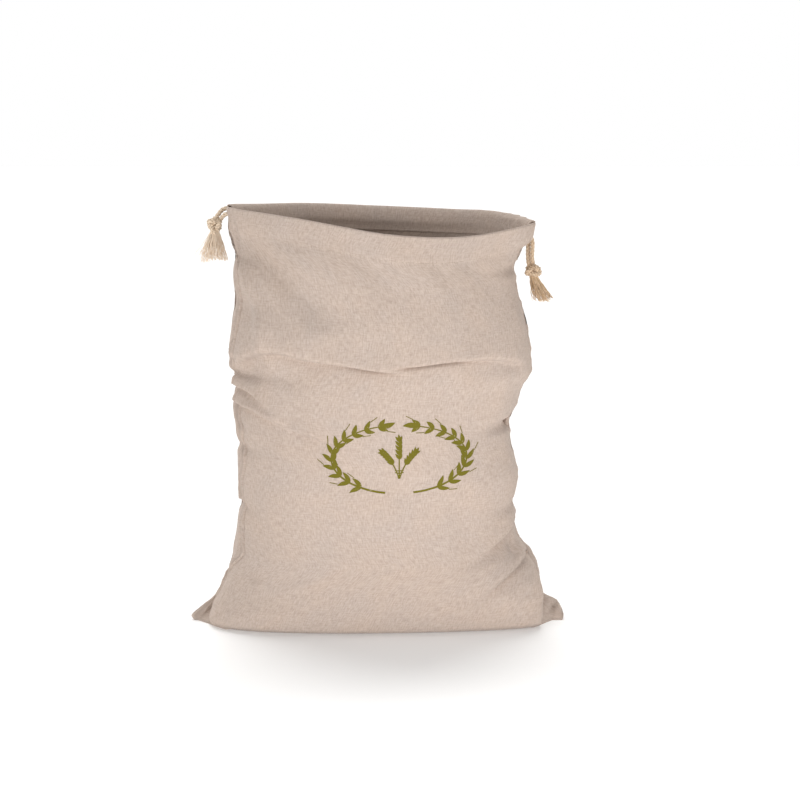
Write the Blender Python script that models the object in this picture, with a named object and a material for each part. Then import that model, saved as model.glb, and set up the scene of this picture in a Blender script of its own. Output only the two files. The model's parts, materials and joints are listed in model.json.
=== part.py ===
"""Linen bread bag, standing open: one length of cloth folded at the bottom and sewn up both
sides, with a casing round the mouth that two knotted, tasselled drawcords run through.

The bag faces -Y and stands on z = 0. Tables and sizes are in millimetres and the scene is in
metres. A panel is worked out on a grid of rows (floor to rim) and columns (left seam to right
seam), so every fold is a function of the place on the panel.
"""

import math

import bmesh
import bpy
import numpy as np
from mathutils import Vector

MM = 0.001

# ---- driving dimensions, mm -------------------------------------------------------------------
CLOTH = 1.5
CASING_DEPTH = 20.0
CASING_SKIN = 0.9
CORD_DIAMETER = 3.4
CORD_CLEARANCE = 0.36
LANE_PITCH = CORD_DIAMETER + 0.4
UPPER_LANE_BELOW_RIM = 6.0
SLIT_HALF_GAP = 10.0

# Sections of the body, from the floor up: where its left and right sides end, how far the front
# and back panels stand out from the seams, and how each end closes (1 is an ellipse, less is
# boxier and more is sharper).
SECTIONS = {
    "z": (0, 3, 8, 13, 18, 25, 36, 45, 52, 64, 80, 125, 165, 192, 215, 245, 285, 300, 310, 318, 326,
          346),
    "left": (-138, -140, -140, -138, -135, -130, -125, -121, -119, -116, -113, -112, -113, -114,
             -116, -116, -114, -113, -113, -114, -116, -119),
    "right": (136, 139, 141, 142, 142, 142, 140, 136, 131, 121, 114, 113, 109, 116, 123, 121, 111,
              112, 116, 122, 126, 126),
    "front": (46, 51, 56, 59, 61, 62, 63, 63.5, 64, 64.5, 65, 66, 66, 66, 67, 66, 63, 62, 61.5, 61,
              61, 60),
    "back": (46, 52, 57, 60, 62, 63, 64, 64.5, 65, 65.5, 66, 67, 67, 66, 67, 66, 63, 62, 61.5, 61,
             61, 60),
    "end_left": (0.9, 0.92, 0.92, 0.92, 0.9, 0.9, 0.9, 0.9, 0.9, 0.92, 0.94, 0.96, 0.98, 1.0, 1.0,
                 1.0, 1.05, 1.1, 1.15, 1.2, 1.2, 1.25),
    "end_right": (0.72, 0.72, 0.74, 0.76, 0.78, 0.8, 0.84, 0.86, 0.88, 0.92, 0.94, 0.96, 0.98, 1.0,
                  1.0, 1.0, 1.05, 1.1, 1.15, 1.2, 1.2, 1.25),
}

# The seam's edge beyond the body, which widens into the ear at each bottom corner, and how far
# the belly is pinched in where it meets the ear.
SEAMS = {
    "z": (0, 3, 8, 13, 16, 19, 25, 36, 45, 52, 64, 84, 110, 346),
    "left": (15, 15.5, 10.5, 6, 3.2, 1.8, 1.4, 1.4, 1.4, 1.4, 1.4, 1.4, 1.4, 1.4),
    "right": (20, 20, 19, 16, 12, 6, 2.5, 1.6, 1.4, 1.4, 1.4, 1.4, 1.4, 1.4),
    "pinch_left": (1.5, 2.5, 3, 2.5, 2, 1.5, 1, 0.5, 0, 0, 0, 0, 0, 0),
    "pinch_right": (3, 5, 7.5, 8.5, 9, 9, 8.5, 7, 4.5, 3, 0.6, 0, 0, 0),
    "thick": (2.4, 2.6, 2.4, 2.1, 1.9, 1.7, 1.4, 1.3, 1.3, 1.3, 1.3, 1.3, 1.3, 1.3),
    "left_y": (-7, -7, -6, -5, -4.5, -4, -3, -2, -1.5, -1, -0.4, 0, 0, 0),
    "right_y": (5, 5, 5, 4, 3.5, 3, 1, 0, 0, 0, 0, 0, 0, 0),
}
PINCH_ANGLE = 0.17

RIM_FRONT = {
    "x": (-120, -88, -57, -26, 4, 35, 60, 82, 106, 128),
    "z": (341, 339, 335.5, 330.5, 325.5, 322.5, 321.5, 322.5, 325.5, 328.5),
}
RIM_BACK = {
    "x": (-120, -104, -60, 0, 60, 100, 128),
    "z": (342.5, 341.2, 340, 337, 335, 334, 329.5),
}

# Creases on the front: the cloth above the line stands out as a lip over the cloth below it.
# x and z give the line; lip and dip are the heights above and below it, up and down how far they
# reach, and hang how far the lip drops over the dip.
FRONT_CREASES = (
    {"x": (-118, -104, -82, -55, -27, 4, 30), "z": (211, 223, 231, 227, 224, 219.5, 215),
     "lip": 3.8, "dip": 5.4, "up": 16, "down": 12, "hang": 2.0, "ends": (0.25, 0.22)},
    {"x": (8, 43, 70, 98, 122), "z": (220.5, 224.5, 226.3, 224.4, 217),
     "lip": 4.4, "dip": 5.6, "up": 18, "down": 13, "hang": 2.2, "ends": (0.3, 0.0)},
    {"x": (-118, -109, -101, -93, -84, -78), "z": (200, 198, 196, 192, 186, 181),
     "lip": 4.2, "dip": 4.2, "up": 7, "down": 7, "hang": 1.0, "ends": (0.0, 0.4)},
    {"x": (-118, -90, -71, -42), "z": (186, 178, 171, 162),
     "lip": 4.4, "dip": 4.2, "up": 10, "down": 12, "hang": 0.8, "ends": (0.0, 0.5)},
    {"x": (68, 82, 92, 101, 108, 114), "z": (58, 65, 69, 74, 79, 87),
     "lip": 3.0, "dip": 3.4, "up": 12, "down": 9, "hang": 0.5, "ends": (0.5, 0.0)},
    {"x": (74, 86, 100, 117, 132), "z": (24, 33, 43, 55, 64),
     "lip": 2.8, "dip": 3.4, "up": 10, "down": 9, "hang": 0.5, "ends": (0.5, 0.0)},
    {"x": (-124, -112, -98, -84), "z": (70, 62, 52, 38),
     "lip": 2.6, "dip": 3.0, "up": 9, "down": 9, "hang": 0.4, "ends": (0.0, 0.5)},
)

BACK_CREASES = (
    {"x": (-118, -80, -40, -5), "z": (206, 214, 212, 203),
     "lip": 3.0, "dip": 4.0, "up": 15, "down": 12, "hang": 1.2, "ends": (0.0, 0.4)},
    {"x": (-20, 30, 75, 124), "z": (228, 224, 228, 220),
     "lip": 3.0, "dip": 4.2, "up": 16, "down": 12, "hang": 1.2, "ends": (0.4, 0.0)},
    {"x": (50, 80, 112), "z": (150, 160, 168),
     "lip": 2.4, "dip": 2.6, "up": 10, "down": 10, "hang": 0.5, "ends": (0.5, 0.0)},
    {"x": (-112, -85, -50), "z": (104, 92, 76),
     "lip": 2.2, "dip": 2.6, "up": 11, "down": 11, "hang": 0.5, "ends": (0.0, 0.5)},
)

# Soft swells (+) and dents (-) of a panel: centre, half lengths along and across, turn in degrees.
FRONT_SWELLS = (
    {"x": -84, "z": 292, "long": 34, "wide": 13, "turn": -44, "height": -3.2},
    {"x": -92, "z": 262, "long": 30, "wide": 14, "turn": 80, "height": 2.0},
    {"x": -40, "z": 246, "long": 46, "wide": 14, "turn": 6, "height": 2.6},
    {"x": 8, "z": 288, "long": 44, "wide": 13, "turn": -38, "height": -2.0},
    {"x": 60, "z": 262, "long": 40, "wide": 24, "turn": 10, "height": 1.6},
    {"x": 20, "z": 122, "long": 40, "wide": 15, "turn": -16, "height": -2.2},
    {"x": -60, "z": 118, "long": 30, "wide": 24, "turn": 40, "height": 1.8},
    {"x": 70, "z": 130, "long": 34, "wide": 26, "turn": -30, "height": 1.8},
    {"x": -40, "z": 58, "long": 52, "wide": 18, "turn": 8, "height": 1.6},
    {"x": 40, "z": 40, "long": 48, "wide": 16, "turn": -10, "height": 1.4},
)
BACK_SWELLS = (
    {"x": -60, "z": 276, "long": 44, "wide": 16, "turn": 30, "height": -2.4},
    {"x": 48, "z": 282, "long": 46, "wide": 18, "turn": -28, "height": 2.0},
    {"x": 0, "z": 160, "long": 50, "wide": 20, "turn": 24, "height": -2.6},
    {"x": -55, "z": 130, "long": 34, "wide": 26, "turn": 0, "height": 2.2},
    {"x": 60, "z": 90, "long": 40, "wide": 22, "turn": -30, "height": 2.2},
)

# Notches (-) and bulges (+) of the side seams: height, depth, reach up and down, reach inwards.
LEFT_NOTCHES = {
    "z":      (99,   147, 176, 207,  226, 266,  305),
    "depth":  (-2.6, -2.4, 1.6, -3.0, 1.8, -3.4, -2.4),
    "half":   (5,    6,   9,   3.4,  10,  12,   5),
    "inward": (16,   18,  24,  20,   30,  34,   14),
}
RIGHT_NOTCHES = {
    "z":      (72,   99,   122, 167,  208, 294),
    "depth":  (-2.2, -2.8, 1.4, -5.0, 3.0, -1.6),
    "half":   (7,    4.5,  12,  5,    9,   9),
    "inward": (26,   16,   30,  22,   30,  24),
}

# Pleats of the casing, where the drawcord bunches the back panel at its right end.
BACK_PLEATS = {"x": (84, 94, 103), "height": 1.8, "half": 3.0, "reach": 18}

# Knots and the fans of frayed strands below them: where each is, and where its strands end.
KNOTS = {
    "left": {"centre": (-128.6, -0.5, 326.4), "half": (6.3, 5.8, 7.0), "entry": (0.5, 0, 0.86),
             "tip": (-130.5, 0, 295.5), "fan": (12.5, 8.0)},
    "right": {"centre": (126.6, 0.0, 289.6), "half": (7.0, 5.8, 5.4), "entry": (-0.4, 0, 0.92),
              "tip": (135.2, 0, 263.0), "fan": (9.5, 7.0)},
}
STRANDS = 44
STRAND_RADIUS = 0.55
STRAND_STEPS = 4
ROOT_RADIUS = 4.2

# The drawcords' free ends, chosen by hand, from the casing's mouth at the front and at the back
# to the knot, where the two meet side by side.
FREE_ENDS = {
    "left": {
        "front": ((-114.8, -4.3, 335.4), (-117.2, -3.5, 335.9), (-119.8, -2.5, 335.0)),
        "back": ((-114.8, 4.3, 337.0), (-117.4, 3.7, 338.8), (-120.4, 2.8, 339.2),
                 (-123.4, 1.4, 337.4)),
    },
    "right": {
        "front": ((120.2, -4.6, 318.6), (123.0, -3.4, 317.4), (125.2, -2.3, 314.8),
                  (125.8, -1.4, 310.6), (125.8, -1.1, 305.5), (125.7, -0.8, 300.5)),
        "back": ((120.9, 4.7, 320.8), (122.1, 3.7, 318.6), (122.6, 2.6, 315.0),
                 (122.2, 1.6, 310.2), (121.9, 1.1, 304.8), (122.0, 0.8, 299.8)),
    },
}
SLIT_FOOT = {"left": (-111.0, 308.0), "right": (111.5, 296.0)}

COLUMNS_FRONT = 34
COLUMNS_BACK = 24
SEAM_COLUMNS = 2
CASING_STATIONS = {"front": 32, "back": 30}
REACH = 122.0
HEM_LAYER = 0.5
RIM_ROUND = 0.9
INNER_SEAM_GAP = 0.6
SLIT_CUT_HEIGHT = 48.0
CROSSING_BULGE = 1.6
KNOT_RIDGE = 0.10
KNOT_GAP = 0.35
FREE_SPACING = 3.6
MOUTH_Y = 5.8
ROWS_LOW = (0.0, 2.5, 6.0, 11.0, 17.0, 25.0)
ROWS_TO_RIM = (0.06, 0.12, 0.18, 0.25, 0.32, 0.39, 0.445, 0.475, 0.505, 0.53, 0.555, 0.58, 0.603,
               0.625, 0.645, 0.665, 0.685, 0.71, 0.75, 0.80, 0.86, 0.905, 0.938, 0.96, 0.982, 1.0)


# ---- curves through short tables --------------------------------------------------------------
def through(knots, values, at):
    """A smooth curve through (knots, values), held level beyond its ends."""
    knots = np.asarray(knots, float)
    values = np.asarray(values, float)
    at = np.clip(np.asarray(at, float), knots[0], knots[-1])
    slopes = np.gradient(values, knots)
    i = np.clip(np.searchsorted(knots, at, side="right") - 1, 0, len(knots) - 2)
    step = knots[i + 1] - knots[i]
    t = (at - knots[i]) / step
    return (
        (1 + 2 * t) * (1 - t) ** 2 * values[i]
        + t * (1 - t) ** 2 * step * slopes[i]
        + t**2 * (3 - 2 * t) * values[i + 1]
        + t**2 * (t - 1) * step * slopes[i + 1]
    )


def column_of(table, name, z):
    return through(table["z"], table[name], z)


def rim_height(x, side):
    table = RIM_FRONT if side == "front" else RIM_BACK
    return through(table["x"], table["z"], x)


# ---- folds ------------------------------------------------------------------------------------
def fade_in(share, length):
    """0 to 1 over the first part of a crease; a length of 0 starts it at full height."""
    if length <= 0:
        return np.ones_like(share)
    t = np.clip(share / length, 0, 1)
    return t * t * (3 - 2 * t)


def crease(fold, x, z):
    """(height along the panel's normal, drop) that one crease adds at x, z."""
    line = through(fold["x"], fold["z"], x)
    slope = (through(fold["x"], fold["z"], x + 1) - through(fold["x"], fold["z"], x - 1)) / 2
    off = (z - line) / np.sqrt(1 + slope**2)
    share = (x - fold["x"][0]) / (fold["x"][-1] - fold["x"][0])
    fade = fade_in(share, fold["ends"][0]) * fade_in(1 - share, fold["ends"][1])
    fade = fade * (fade_in(share + 0.15, 0.15) * fade_in(1.15 - share, 0.15))
    above = 0.5 * (1 + np.tanh(off / 1.4))
    lip = above * np.exp(-(np.abs(off) / fold["up"]) ** 1.3)
    dip = (1 - above) * np.exp(-(np.abs(off) / fold["down"]) ** 1.3)
    near = np.exp(-np.abs(off) / 5)
    return fade * (fold["lip"] * lip - fold["dip"] * dip), -fade * fold["hang"] * near * above


def swell(mound, x, z):
    turn = math.radians(mound["turn"])
    dx, dz = x - mound["x"], z - mound["z"]
    along = dx * math.cos(turn) + dz * math.sin(turn)
    across = dz * math.cos(turn) - dx * math.sin(turn)
    return mound["height"] * np.exp(-((along / mound["long"]) ** 2) - (across / mound["wide"]) ** 2)


def notches(table, z, from_seam):
    total = np.zeros_like(z)
    rows = zip(table["z"], table["depth"], table["half"], table["inward"])
    for height, depth, half, inward in rows:
        total += depth * np.exp(-(((z - height) / half) ** 2) - (from_seam / inward) ** 2)
    return total


# ---- a panel ----------------------------------------------------------------------------------
def panel_rows(x, side):
    """Heights of every row at the columns' x: fixed near the floor, then shared out to the rim."""
    low = np.repeat(np.array(ROWS_LOW)[:, None], len(x), axis=1)
    rim = rim_height(x, side)
    high = ROWS_LOW[-1] + np.array(ROWS_TO_RIM)[:, None] * (rim - ROWS_LOW[-1])[None, :]
    return np.vstack([low, high])


def body_skin(side, angles, z):
    """Points of a panel's body before any fold, at the given angles and heights (mm)."""
    left, right = column_of(SECTIONS, "left", z), column_of(SECTIONS, "right", z)
    depth = column_of(SECTIONS, side, z)
    x = (left + right) / 2 - (right - left) / 2 * np.cos(angles)
    share = (x - left) / (right - left)
    seam_y = column_of(SEAMS, "left_y", z) * (1 - share) ** 3
    seam_y = seam_y + column_of(SEAMS, "right_y", z) * share**3
    end = column_of(SECTIONS, "end_left", z) * (1 - share)
    end = end + column_of(SECTIONS, "end_right", z) * share
    x = x + column_of(SEAMS, "pinch_left", z) * np.exp(-((angles / PINCH_ANGLE) ** 2))
    x = x - column_of(SEAMS, "pinch_right", z) * np.exp(-(((math.pi - angles) / PINCH_ANGLE) ** 2))
    round_out = depth * np.maximum(np.sin(angles), 0) ** end
    out = np.sqrt(round_out**2 + column_of(SEAMS, "thick", z) ** 2)
    y = seam_y + (out if side == "back" else -out)
    return np.stack([x, y, z], axis=-1)


def outward(points, side):
    """Unit normals of a grid of points, pointing out of the bag."""
    up_rows = np.gradient(points, axis=0)
    along_columns = np.gradient(points, axis=1)
    normal = np.cross(along_columns, up_rows)
    normal /= np.linalg.norm(normal, axis=-1, keepdims=True)
    return normal if side == "front" else -normal


def casing_wall(below_rim):
    """The cloth's thickness, with the casing's room for two lanes of cord."""
    middle = UPPER_LANE_BELOW_RIM + LANE_PITCH / 2
    room = CORD_DIAMETER + 2 * CORD_CLEARANCE + 2 * CASING_SKIN - CLOTH
    hem = 0.5 * (1 - np.tanh((below_rim - CASING_DEPTH) / 0.8)) * HEM_LAYER
    return CLOTH + hem + (room - HEM_LAYER) * np.exp(-(((below_rim - middle) / 7.0) ** 4))


def pleat_height(x, below_rim):
    """Narrow ridges of bunched casing that run down from the rim and die out."""
    wave = sum(np.exp(-(((x - place) / BACK_PLEATS["half"]) ** 2)) for place in BACK_PLEATS["x"])
    return BACK_PLEATS["height"] * wave * np.exp(-np.maximum(below_rim, 0) / BACK_PLEATS["reach"])


def folded_panel(side, angles):
    """(outer, inner) faces of a panel with its folds, on a grid of rows and columns (mm)."""
    z = panel_rows(-REACH * np.cos(angles), side)
    points = body_skin(side, angles, z)
    x = points[..., 0]
    below_rim = z[-1] - z
    calm = 1 - np.exp(-z / 12)
    rise, drop = np.zeros_like(x), np.zeros_like(x)
    for fold in FRONT_CREASES if side == "front" else BACK_CREASES:
        lip, hang = crease(fold, x, z)
        rise, drop = rise + lip, drop + hang
    for mound in FRONT_SWELLS if side == "front" else BACK_SWELLS:
        rise += swell(mound, x, z)
    rise *= np.minimum(1, 0.35 + 2 * np.sin(angles))
    rise += notches(LEFT_NOTCHES, z, x - points[:, :1, 0])
    rise += notches(RIGHT_NOTCHES, z, points[:, -1:, 0] - x)
    skin = points + outward(points, side) * (rise * calm)[..., None]
    skin[..., 2] += drop * calm
    normal = outward(skin, side)
    level = np.clip((z - 4) / 20, 0, 1)
    normal[..., 2] *= level
    pleat = pleat_height(x, below_rim) if side == "back" else 0 * x
    turned_in = RIM_ROUND * np.exp(-below_rim / 1.8)
    outer = skin + normal * (pleat - turned_in)[..., None]
    inner = skin - normal * (casing_wall(below_rim) + 0.7 * pleat)[..., None]
    lowest = ROWS_LOW[-1]
    inner[..., 2] = np.where(z < lowest, CLOTH + z * (lowest - CLOTH) / lowest, inner[..., 2])
    return outer, inner


def seam_edge(front, back, side):
    """Points round the seam's edge, from the front panel's end to the back panel's (mm)."""
    z = front[:, 2]
    width = column_of(SEAMS, side, z)
    thick = column_of(SEAMS, "thick", z)
    sign = -1 if side == "left" else 1
    centre_y = (front[:, 1] + back[:, 1]) / 2
    made = []
    for step in range(1, 2 * SEAM_COLUMNS):
        turn = step / SEAM_COLUMNS - 1
        share = 1 - abs(turn)
        end = front if turn < 0 else back
        across = np.sign(turn) * thick * math.sqrt(1 - share**2)
        x = end[:, 0] + sign * width * share
        made.append(np.stack([x, centre_y + across, end[:, 2]], axis=-1))
    return made


def inner_edge(front, back):
    """Points straight across the inside of the seam, from the front panel to the back."""
    count = 2 * SEAM_COLUMNS
    return [front + (back - front) * (step / count) for step in range(1, count)]


def kept_apart(front, back):
    """Moves the inner faces of the two panels off each other at the seams."""
    seam_y = ((front[:, 0] + back[:, 0]) / 2)[:, 1], ((front[:, -1] + back[:, -1]) / 2)[:, 1]
    for end, y in zip((slice(0, 4), slice(-4, None)), seam_y):
        front[:, end, 1] = np.minimum(front[:, end, 1], y[:, None] - INNER_SEAM_GAP)
        back[:, end, 1] = np.maximum(back[:, end, 1], y[:, None] + INNER_SEAM_GAP)


def bag_rings():
    """Closed rings of points: up the outside from the floor, over the rim and down the inside."""
    front_outer, front_inner = folded_panel("front", np.linspace(0, math.pi, COLUMNS_FRONT + 1))
    back_outer, back_inner = folded_panel("back", np.linspace(0, math.pi, COLUMNS_BACK + 1))
    kept_apart(front_inner, back_inner)
    outside, inside = [], []
    pairs = ((front_outer, back_outer, outside), (front_inner, back_inner, inside))
    for front, back, made in pairs:
        if made is outside:
            right = seam_edge(front[:, -1], back[:, -1], "right")
            left = seam_edge(front[:, 0], back[:, 0], "left")[::-1]
        else:
            right = inner_edge(front[:, -1], back[:, -1])
            left = inner_edge(front[:, 0], back[:, 0])[::-1]
        columns = [front.transpose(1, 0, 2), np.array(right)]
        columns += [back[:, ::-1].transpose(1, 0, 2), np.array(left)]
        made.extend(np.concatenate(columns).transpose(1, 0, 2))
    return outside + inside[::-1]


# ---- meshes -----------------------------------------------------------------------------------
def loft(name, rings, collection):
    """A closed body through rings of points (mm), each ring with the same number of them."""
    mesh = bpy.data.meshes.new(name)
    body = bmesh.new()
    rows = [[body.verts.new(Vector(point) * MM) for point in ring] for ring in rings]
    count = len(rows[0])
    for low, high in zip(rows, rows[1:]):
        for i in range(count):
            j = (i + 1) % count
            body.faces.new((low[i], low[j], high[j], high[i]))
    body.faces.new(reversed(rows[0]))
    body.faces.new(rows[-1])
    bmesh.ops.triangulate(body, faces=[face for face in body.faces if len(face.verts) > 4])
    bmesh.ops.recalc_face_normals(body, faces=body.faces)
    body.to_mesh(mesh)
    body.free()
    made = bpy.data.objects.new(name, mesh)
    collection.objects.link(made)
    return made


def plain_material(name, colour, roughness):
    made = bpy.data.materials.new(name)
    made.use_nodes = True
    shader = made.node_tree.nodes["Principled BSDF"]
    shader.inputs["Base Color"].default_value = (*colour, 1)
    shader.inputs["Roughness"].default_value = roughness
    return made


def cut(body, cutter):
    made = body.modifiers.new("cut_" + cutter.name, "BOOLEAN")
    made.operation = "DIFFERENCE"
    made.solver = "EXACT"
    made.object = cutter


def as_cutter(made):
    made.hide_render = True
    made.display_type = "WIRE"
    return made


# ---- casing and cords -------------------------------------------------------------------------
def casing_line(side, below_rim):
    """Evenly spaced points along a panel's casing, from left to right, at a depth below the rim."""
    fine = np.linspace(0, math.pi, 241)
    x = -REACH * np.cos(fine)
    for _ in range(3):
        z = rim_height(x, side) - below_rim
        x = body_skin(side, fine, z)[..., 0]
    rows = np.stack([z - 0.5, z, z + 0.5])
    skin = body_skin(side, np.broadcast_to(fine, rows.shape), rows)
    away = outward(skin, side)
    for name, mounds in (("front", FRONT_SWELLS), ("back", BACK_SWELLS)):
        if side == name:
            for mound in mounds:
                skin += away * swell(mound, skin[..., 0], skin[..., 2])[..., None]
    middle = CASING_SKIN + CORD_CLEARANCE + CORD_DIAMETER / 2
    line = skin[1] - away[1] * middle
    run = np.concatenate([[0], np.cumsum(np.linalg.norm(np.diff(line, axis=0), axis=1))])
    inside = np.abs(line[:, 1]) > MOUTH_Y
    first, last = run[inside][0], run[inside][-1]
    at = np.linspace(first, last, CASING_STATIONS[side])
    points = np.stack([np.interp(at, run, line[:, i]) for i in range(3)], axis=-1)
    normals = np.stack([np.interp(at, run, away[1][:, i]) for i in range(3)], axis=-1)
    return points, normals


def tunnel(side, collection):
    """The room inside a panel's casing: a flat-sided tube that holds two lanes of cord."""
    upper, normals = casing_line(side, UPPER_LANE_BELOW_RIM)
    lower, _ = casing_line(side, UPPER_LANE_BELOW_RIM + LANE_PITCH)
    radius = (CORD_DIAMETER / 2 + CORD_CLEARANCE) / math.cos(math.pi / 8)
    rings = []
    for high, low, normal in zip(upper, lower, normals):
        flat = Vector((normal[0], normal[1], 0)).normalized()
        ring = []
        for step in range(10):
            lane, quarter = (high, step) if step < 5 else (low, step - 1)
            turn = math.pi * quarter / 4
            rise = Vector((0, 0, radius * math.sin(turn)))
            ring.append(Vector(lane) + flat * (radius * math.cos(turn)) + rise)
        rings.append(ring)
    return as_cutter(loft("tunnel_" + side, rings, collection))


def slit_wedge(side, collection):
    """The V of open seam above the stitching, through the wall at one side."""
    foot_x, foot_z = SLIT_FOOT[side]
    sign = -1 if side == "left" else 1
    top = foot_z + SLIT_CUT_HEIGHT
    rim = rim_height(sign * REACH, "front")
    half = SLIT_HALF_GAP * (top - foot_z) / (rim - foot_z)
    rings = []
    for x in (foot_x - sign * 14, foot_x + sign * 34):
        rings.append([(x, -0.2, foot_z), (x, 0.2, foot_z), (x, half, top), (x, -half, top)])
    return as_cutter(loft("slit_" + side, rings, collection))


def smooth_path(points, spacing):
    """A Catmull-Rom curve through points, read at even spacing."""
    points = np.asarray(points, float)
    run = np.concatenate([[0], np.cumsum(np.linalg.norm(np.diff(points, axis=0), axis=1))])
    at = np.linspace(0, run[-1], max(2, int(round(run[-1] / spacing)) + 1))
    return np.stack([through(run, points[:, i], at) for i in range(3)], axis=-1)


def knot_end(side, end):
    """Where one end of a cord meets its knot, beside the other end."""
    knot = KNOTS[side]
    entry, half = np.array(knot["entry"]), np.array(knot["half"])
    reach = 1 / np.linalg.norm(entry / half)
    place = np.array(knot["centre"]) + entry * (reach * (1 + KNOT_RIDGE) + KNOT_GAP)
    beside = np.array((entry[2], 0, -entry[0])) * (CORD_DIAMETER / 2 + 0.2)
    return place + (beside if end == "front" else -beside)


def cord_route(side):
    """The whole cord: knot, front casing, round the far slit, back casing, knot (mm)."""
    lane = UPPER_LANE_BELOW_RIM + (LANE_PITCH if side == "right" else 0)
    front, _ = casing_line("front", lane)
    back, _ = casing_line("back", lane)
    if side == "right":
        front, back = front[::-1], back[::-1]
    free = FREE_ENDS[side]
    leave = [knot_end(side, "front"), *free["front"][::-1], front[0]]
    come = [back[0], *free["back"], knot_end(side, "back")]
    start = smooth_path(leave, FREE_SPACING)[:-1]
    finish = smooth_path(come, FREE_SPACING)[1:]
    far = (front[-1] + back[-1]) / 2
    far[0] += CROSSING_BULGE if side == "left" else -CROSSING_BULGE
    return np.concatenate([start, front, far[None], back[::-1], finish])


def drawcord(side, collection, material):
    route = cord_route(side)
    curve = bpy.data.curves.new("drawcord_" + side, "CURVE")
    curve.dimensions = "3D"
    curve.bevel_depth = CORD_DIAMETER / 2 * MM
    curve.bevel_resolution = 2
    curve.use_fill_caps = True
    curve.twist_mode = "MINIMUM"
    spline = curve.splines.new("POLY")
    spline.points.add(len(route) - 1)
    for point, place in zip(spline.points, route):
        point.co = (*(place * MM), 1)
    curve.materials.append(material)
    made = bpy.data.objects.new("drawcord_" + side, curve)
    collection.objects.link(made)
    return made


# ---- knots and tassels ------------------------------------------------------------------------
def knot_head(name, knot, collection):
    """The knot as a lumpy ball whose raised bands follow the cord's turns."""
    mesh = bpy.data.meshes.new(name)
    ball = bmesh.new()
    bmesh.ops.create_uvsphere(ball, u_segments=20, v_segments=12, radius=1)
    for vert in ball.verts:
        x, y, z = vert.co
        around = math.atan2(y, x)
        band = math.sin(2 * around + 3.4 * z) * math.sqrt(max(0.0, 1 - z * z))
        place = vert.co * Vector(knot["half"]) * (1 + KNOT_RIDGE * band)
        vert.co = (Vector(knot["centre"]) + place) * MM
    ball.to_mesh(mesh)
    ball.free()
    made = bpy.data.objects.new(name, mesh)
    collection.objects.link(made)
    return made


def strand_points(knot, index):
    """The line of one frayed strand, from inside the knot's foot to its loose end (mm)."""
    golden = math.pi * (3 - math.sqrt(5))
    turn, share = index * golden, math.sqrt((index + 0.5) / STRANDS)
    centre, tip = Vector(knot["centre"]), Vector(knot["tip"])
    foot = centre - Vector((0, 0, knot["half"][2] * 0.55))
    across = Vector((math.cos(turn), math.sin(turn), 0)) * share
    root = foot + across * ROOT_RADIUS
    ragged = 1 + 0.16 * math.sin(index * 2.3) - 0.10 * share
    end = tip + Vector((across.x * knot["fan"][0], across.y * knot["fan"][1], 0))
    end.z = root.z + (end.z - root.z) * ragged
    line = []
    for step in range(STRAND_STEPS + 1):
        t = step / STRAND_STEPS
        spread = t ** 1.35
        line.append(root + (end - root) * Vector((spread, spread, t)))
    return line


def strands(name, knot, collection):
    mesh = bpy.data.meshes.new(name)
    body = bmesh.new()
    for index in range(STRANDS):
        line = strand_points(knot, index)
        rings = []
        for step, point in enumerate(line):
            radius = STRAND_RADIUS * (1 - 0.35 * step / STRAND_STEPS)
            ring = []
            for corner in range(3):
                turn = 2 * math.pi * corner / 3 + index
                out = Vector((math.cos(turn), math.sin(turn), 0)) * radius
                ring.append(body.verts.new((point + out) * MM))
            rings.append(ring)
        for high, low in zip(rings, rings[1:]):
            for i in range(3):
                j = (i + 1) % 3
                body.faces.new((high[i], low[i], low[j], high[j]))
        body.faces.new(rings[0])
        body.faces.new(reversed(rings[-1]))
    bmesh.ops.recalc_face_normals(body, faces=body.faces)
    body.to_mesh(mesh)
    body.free()
    made = bpy.data.objects.new(name, mesh)
    collection.objects.link(made)
    return as_cutter(made)


def tassel(side, collection, helpers, material):
    """A knot with its frayed strands fused to its foot."""
    knot = KNOTS[side]
    head = knot_head("tassel_" + side, knot, collection)
    joined = head.modifiers.new("strands", "BOOLEAN")
    joined.operation = "UNION"
    joined.solver = "EXACT"
    joined.object = strands("strands_" + side, knot, helpers)
    head.data.materials.append(material)
    return head


# ---- the bag ----------------------------------------------------------------------------------
def bag_cloth(collection, helpers, material):
    made = loft("bag_cloth", bag_rings(), collection)
    for side in ("left", "right"):
        cut(made, slit_wedge(side, helpers))
    for side in ("front", "back"):
        cut(made, tunnel(side, helpers))
    made.data.materials.append(material)
    return made


def main():
    for old in list(bpy.data.objects):
        bpy.data.objects.remove(old, do_unlink=True)
    parts = bpy.data.collections.new("bread_bag")
    helpers = bpy.data.collections.new("cutters")
    for group in (parts, helpers):
        bpy.context.scene.collection.children.link(group)
    linen = plain_material("linen", (0.68, 0.59, 0.51), 0.9)
    rope = plain_material("twisted_cotton", (0.72, 0.63, 0.48), 0.92)
    bag_cloth(parts, helpers, linen)
    for side in ("left", "right"):
        drawcord(side, parts, rope)
        tassel(side, parts, helpers, rope)


main()
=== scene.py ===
"""Linen bread bag, standing open, with two knotted and tasselled drawcords: the looks of the
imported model, in its own frame.

Tables are in millimetres and the scene is in metres. The bag faces -Y and stands on z = 0. The
cloth is worked out as rings round the bag: an angle of 0 is the left edge, and it runs along
the front to pi at the right edge and back along the rear.
"""

import contextlib
import json
import math

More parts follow.
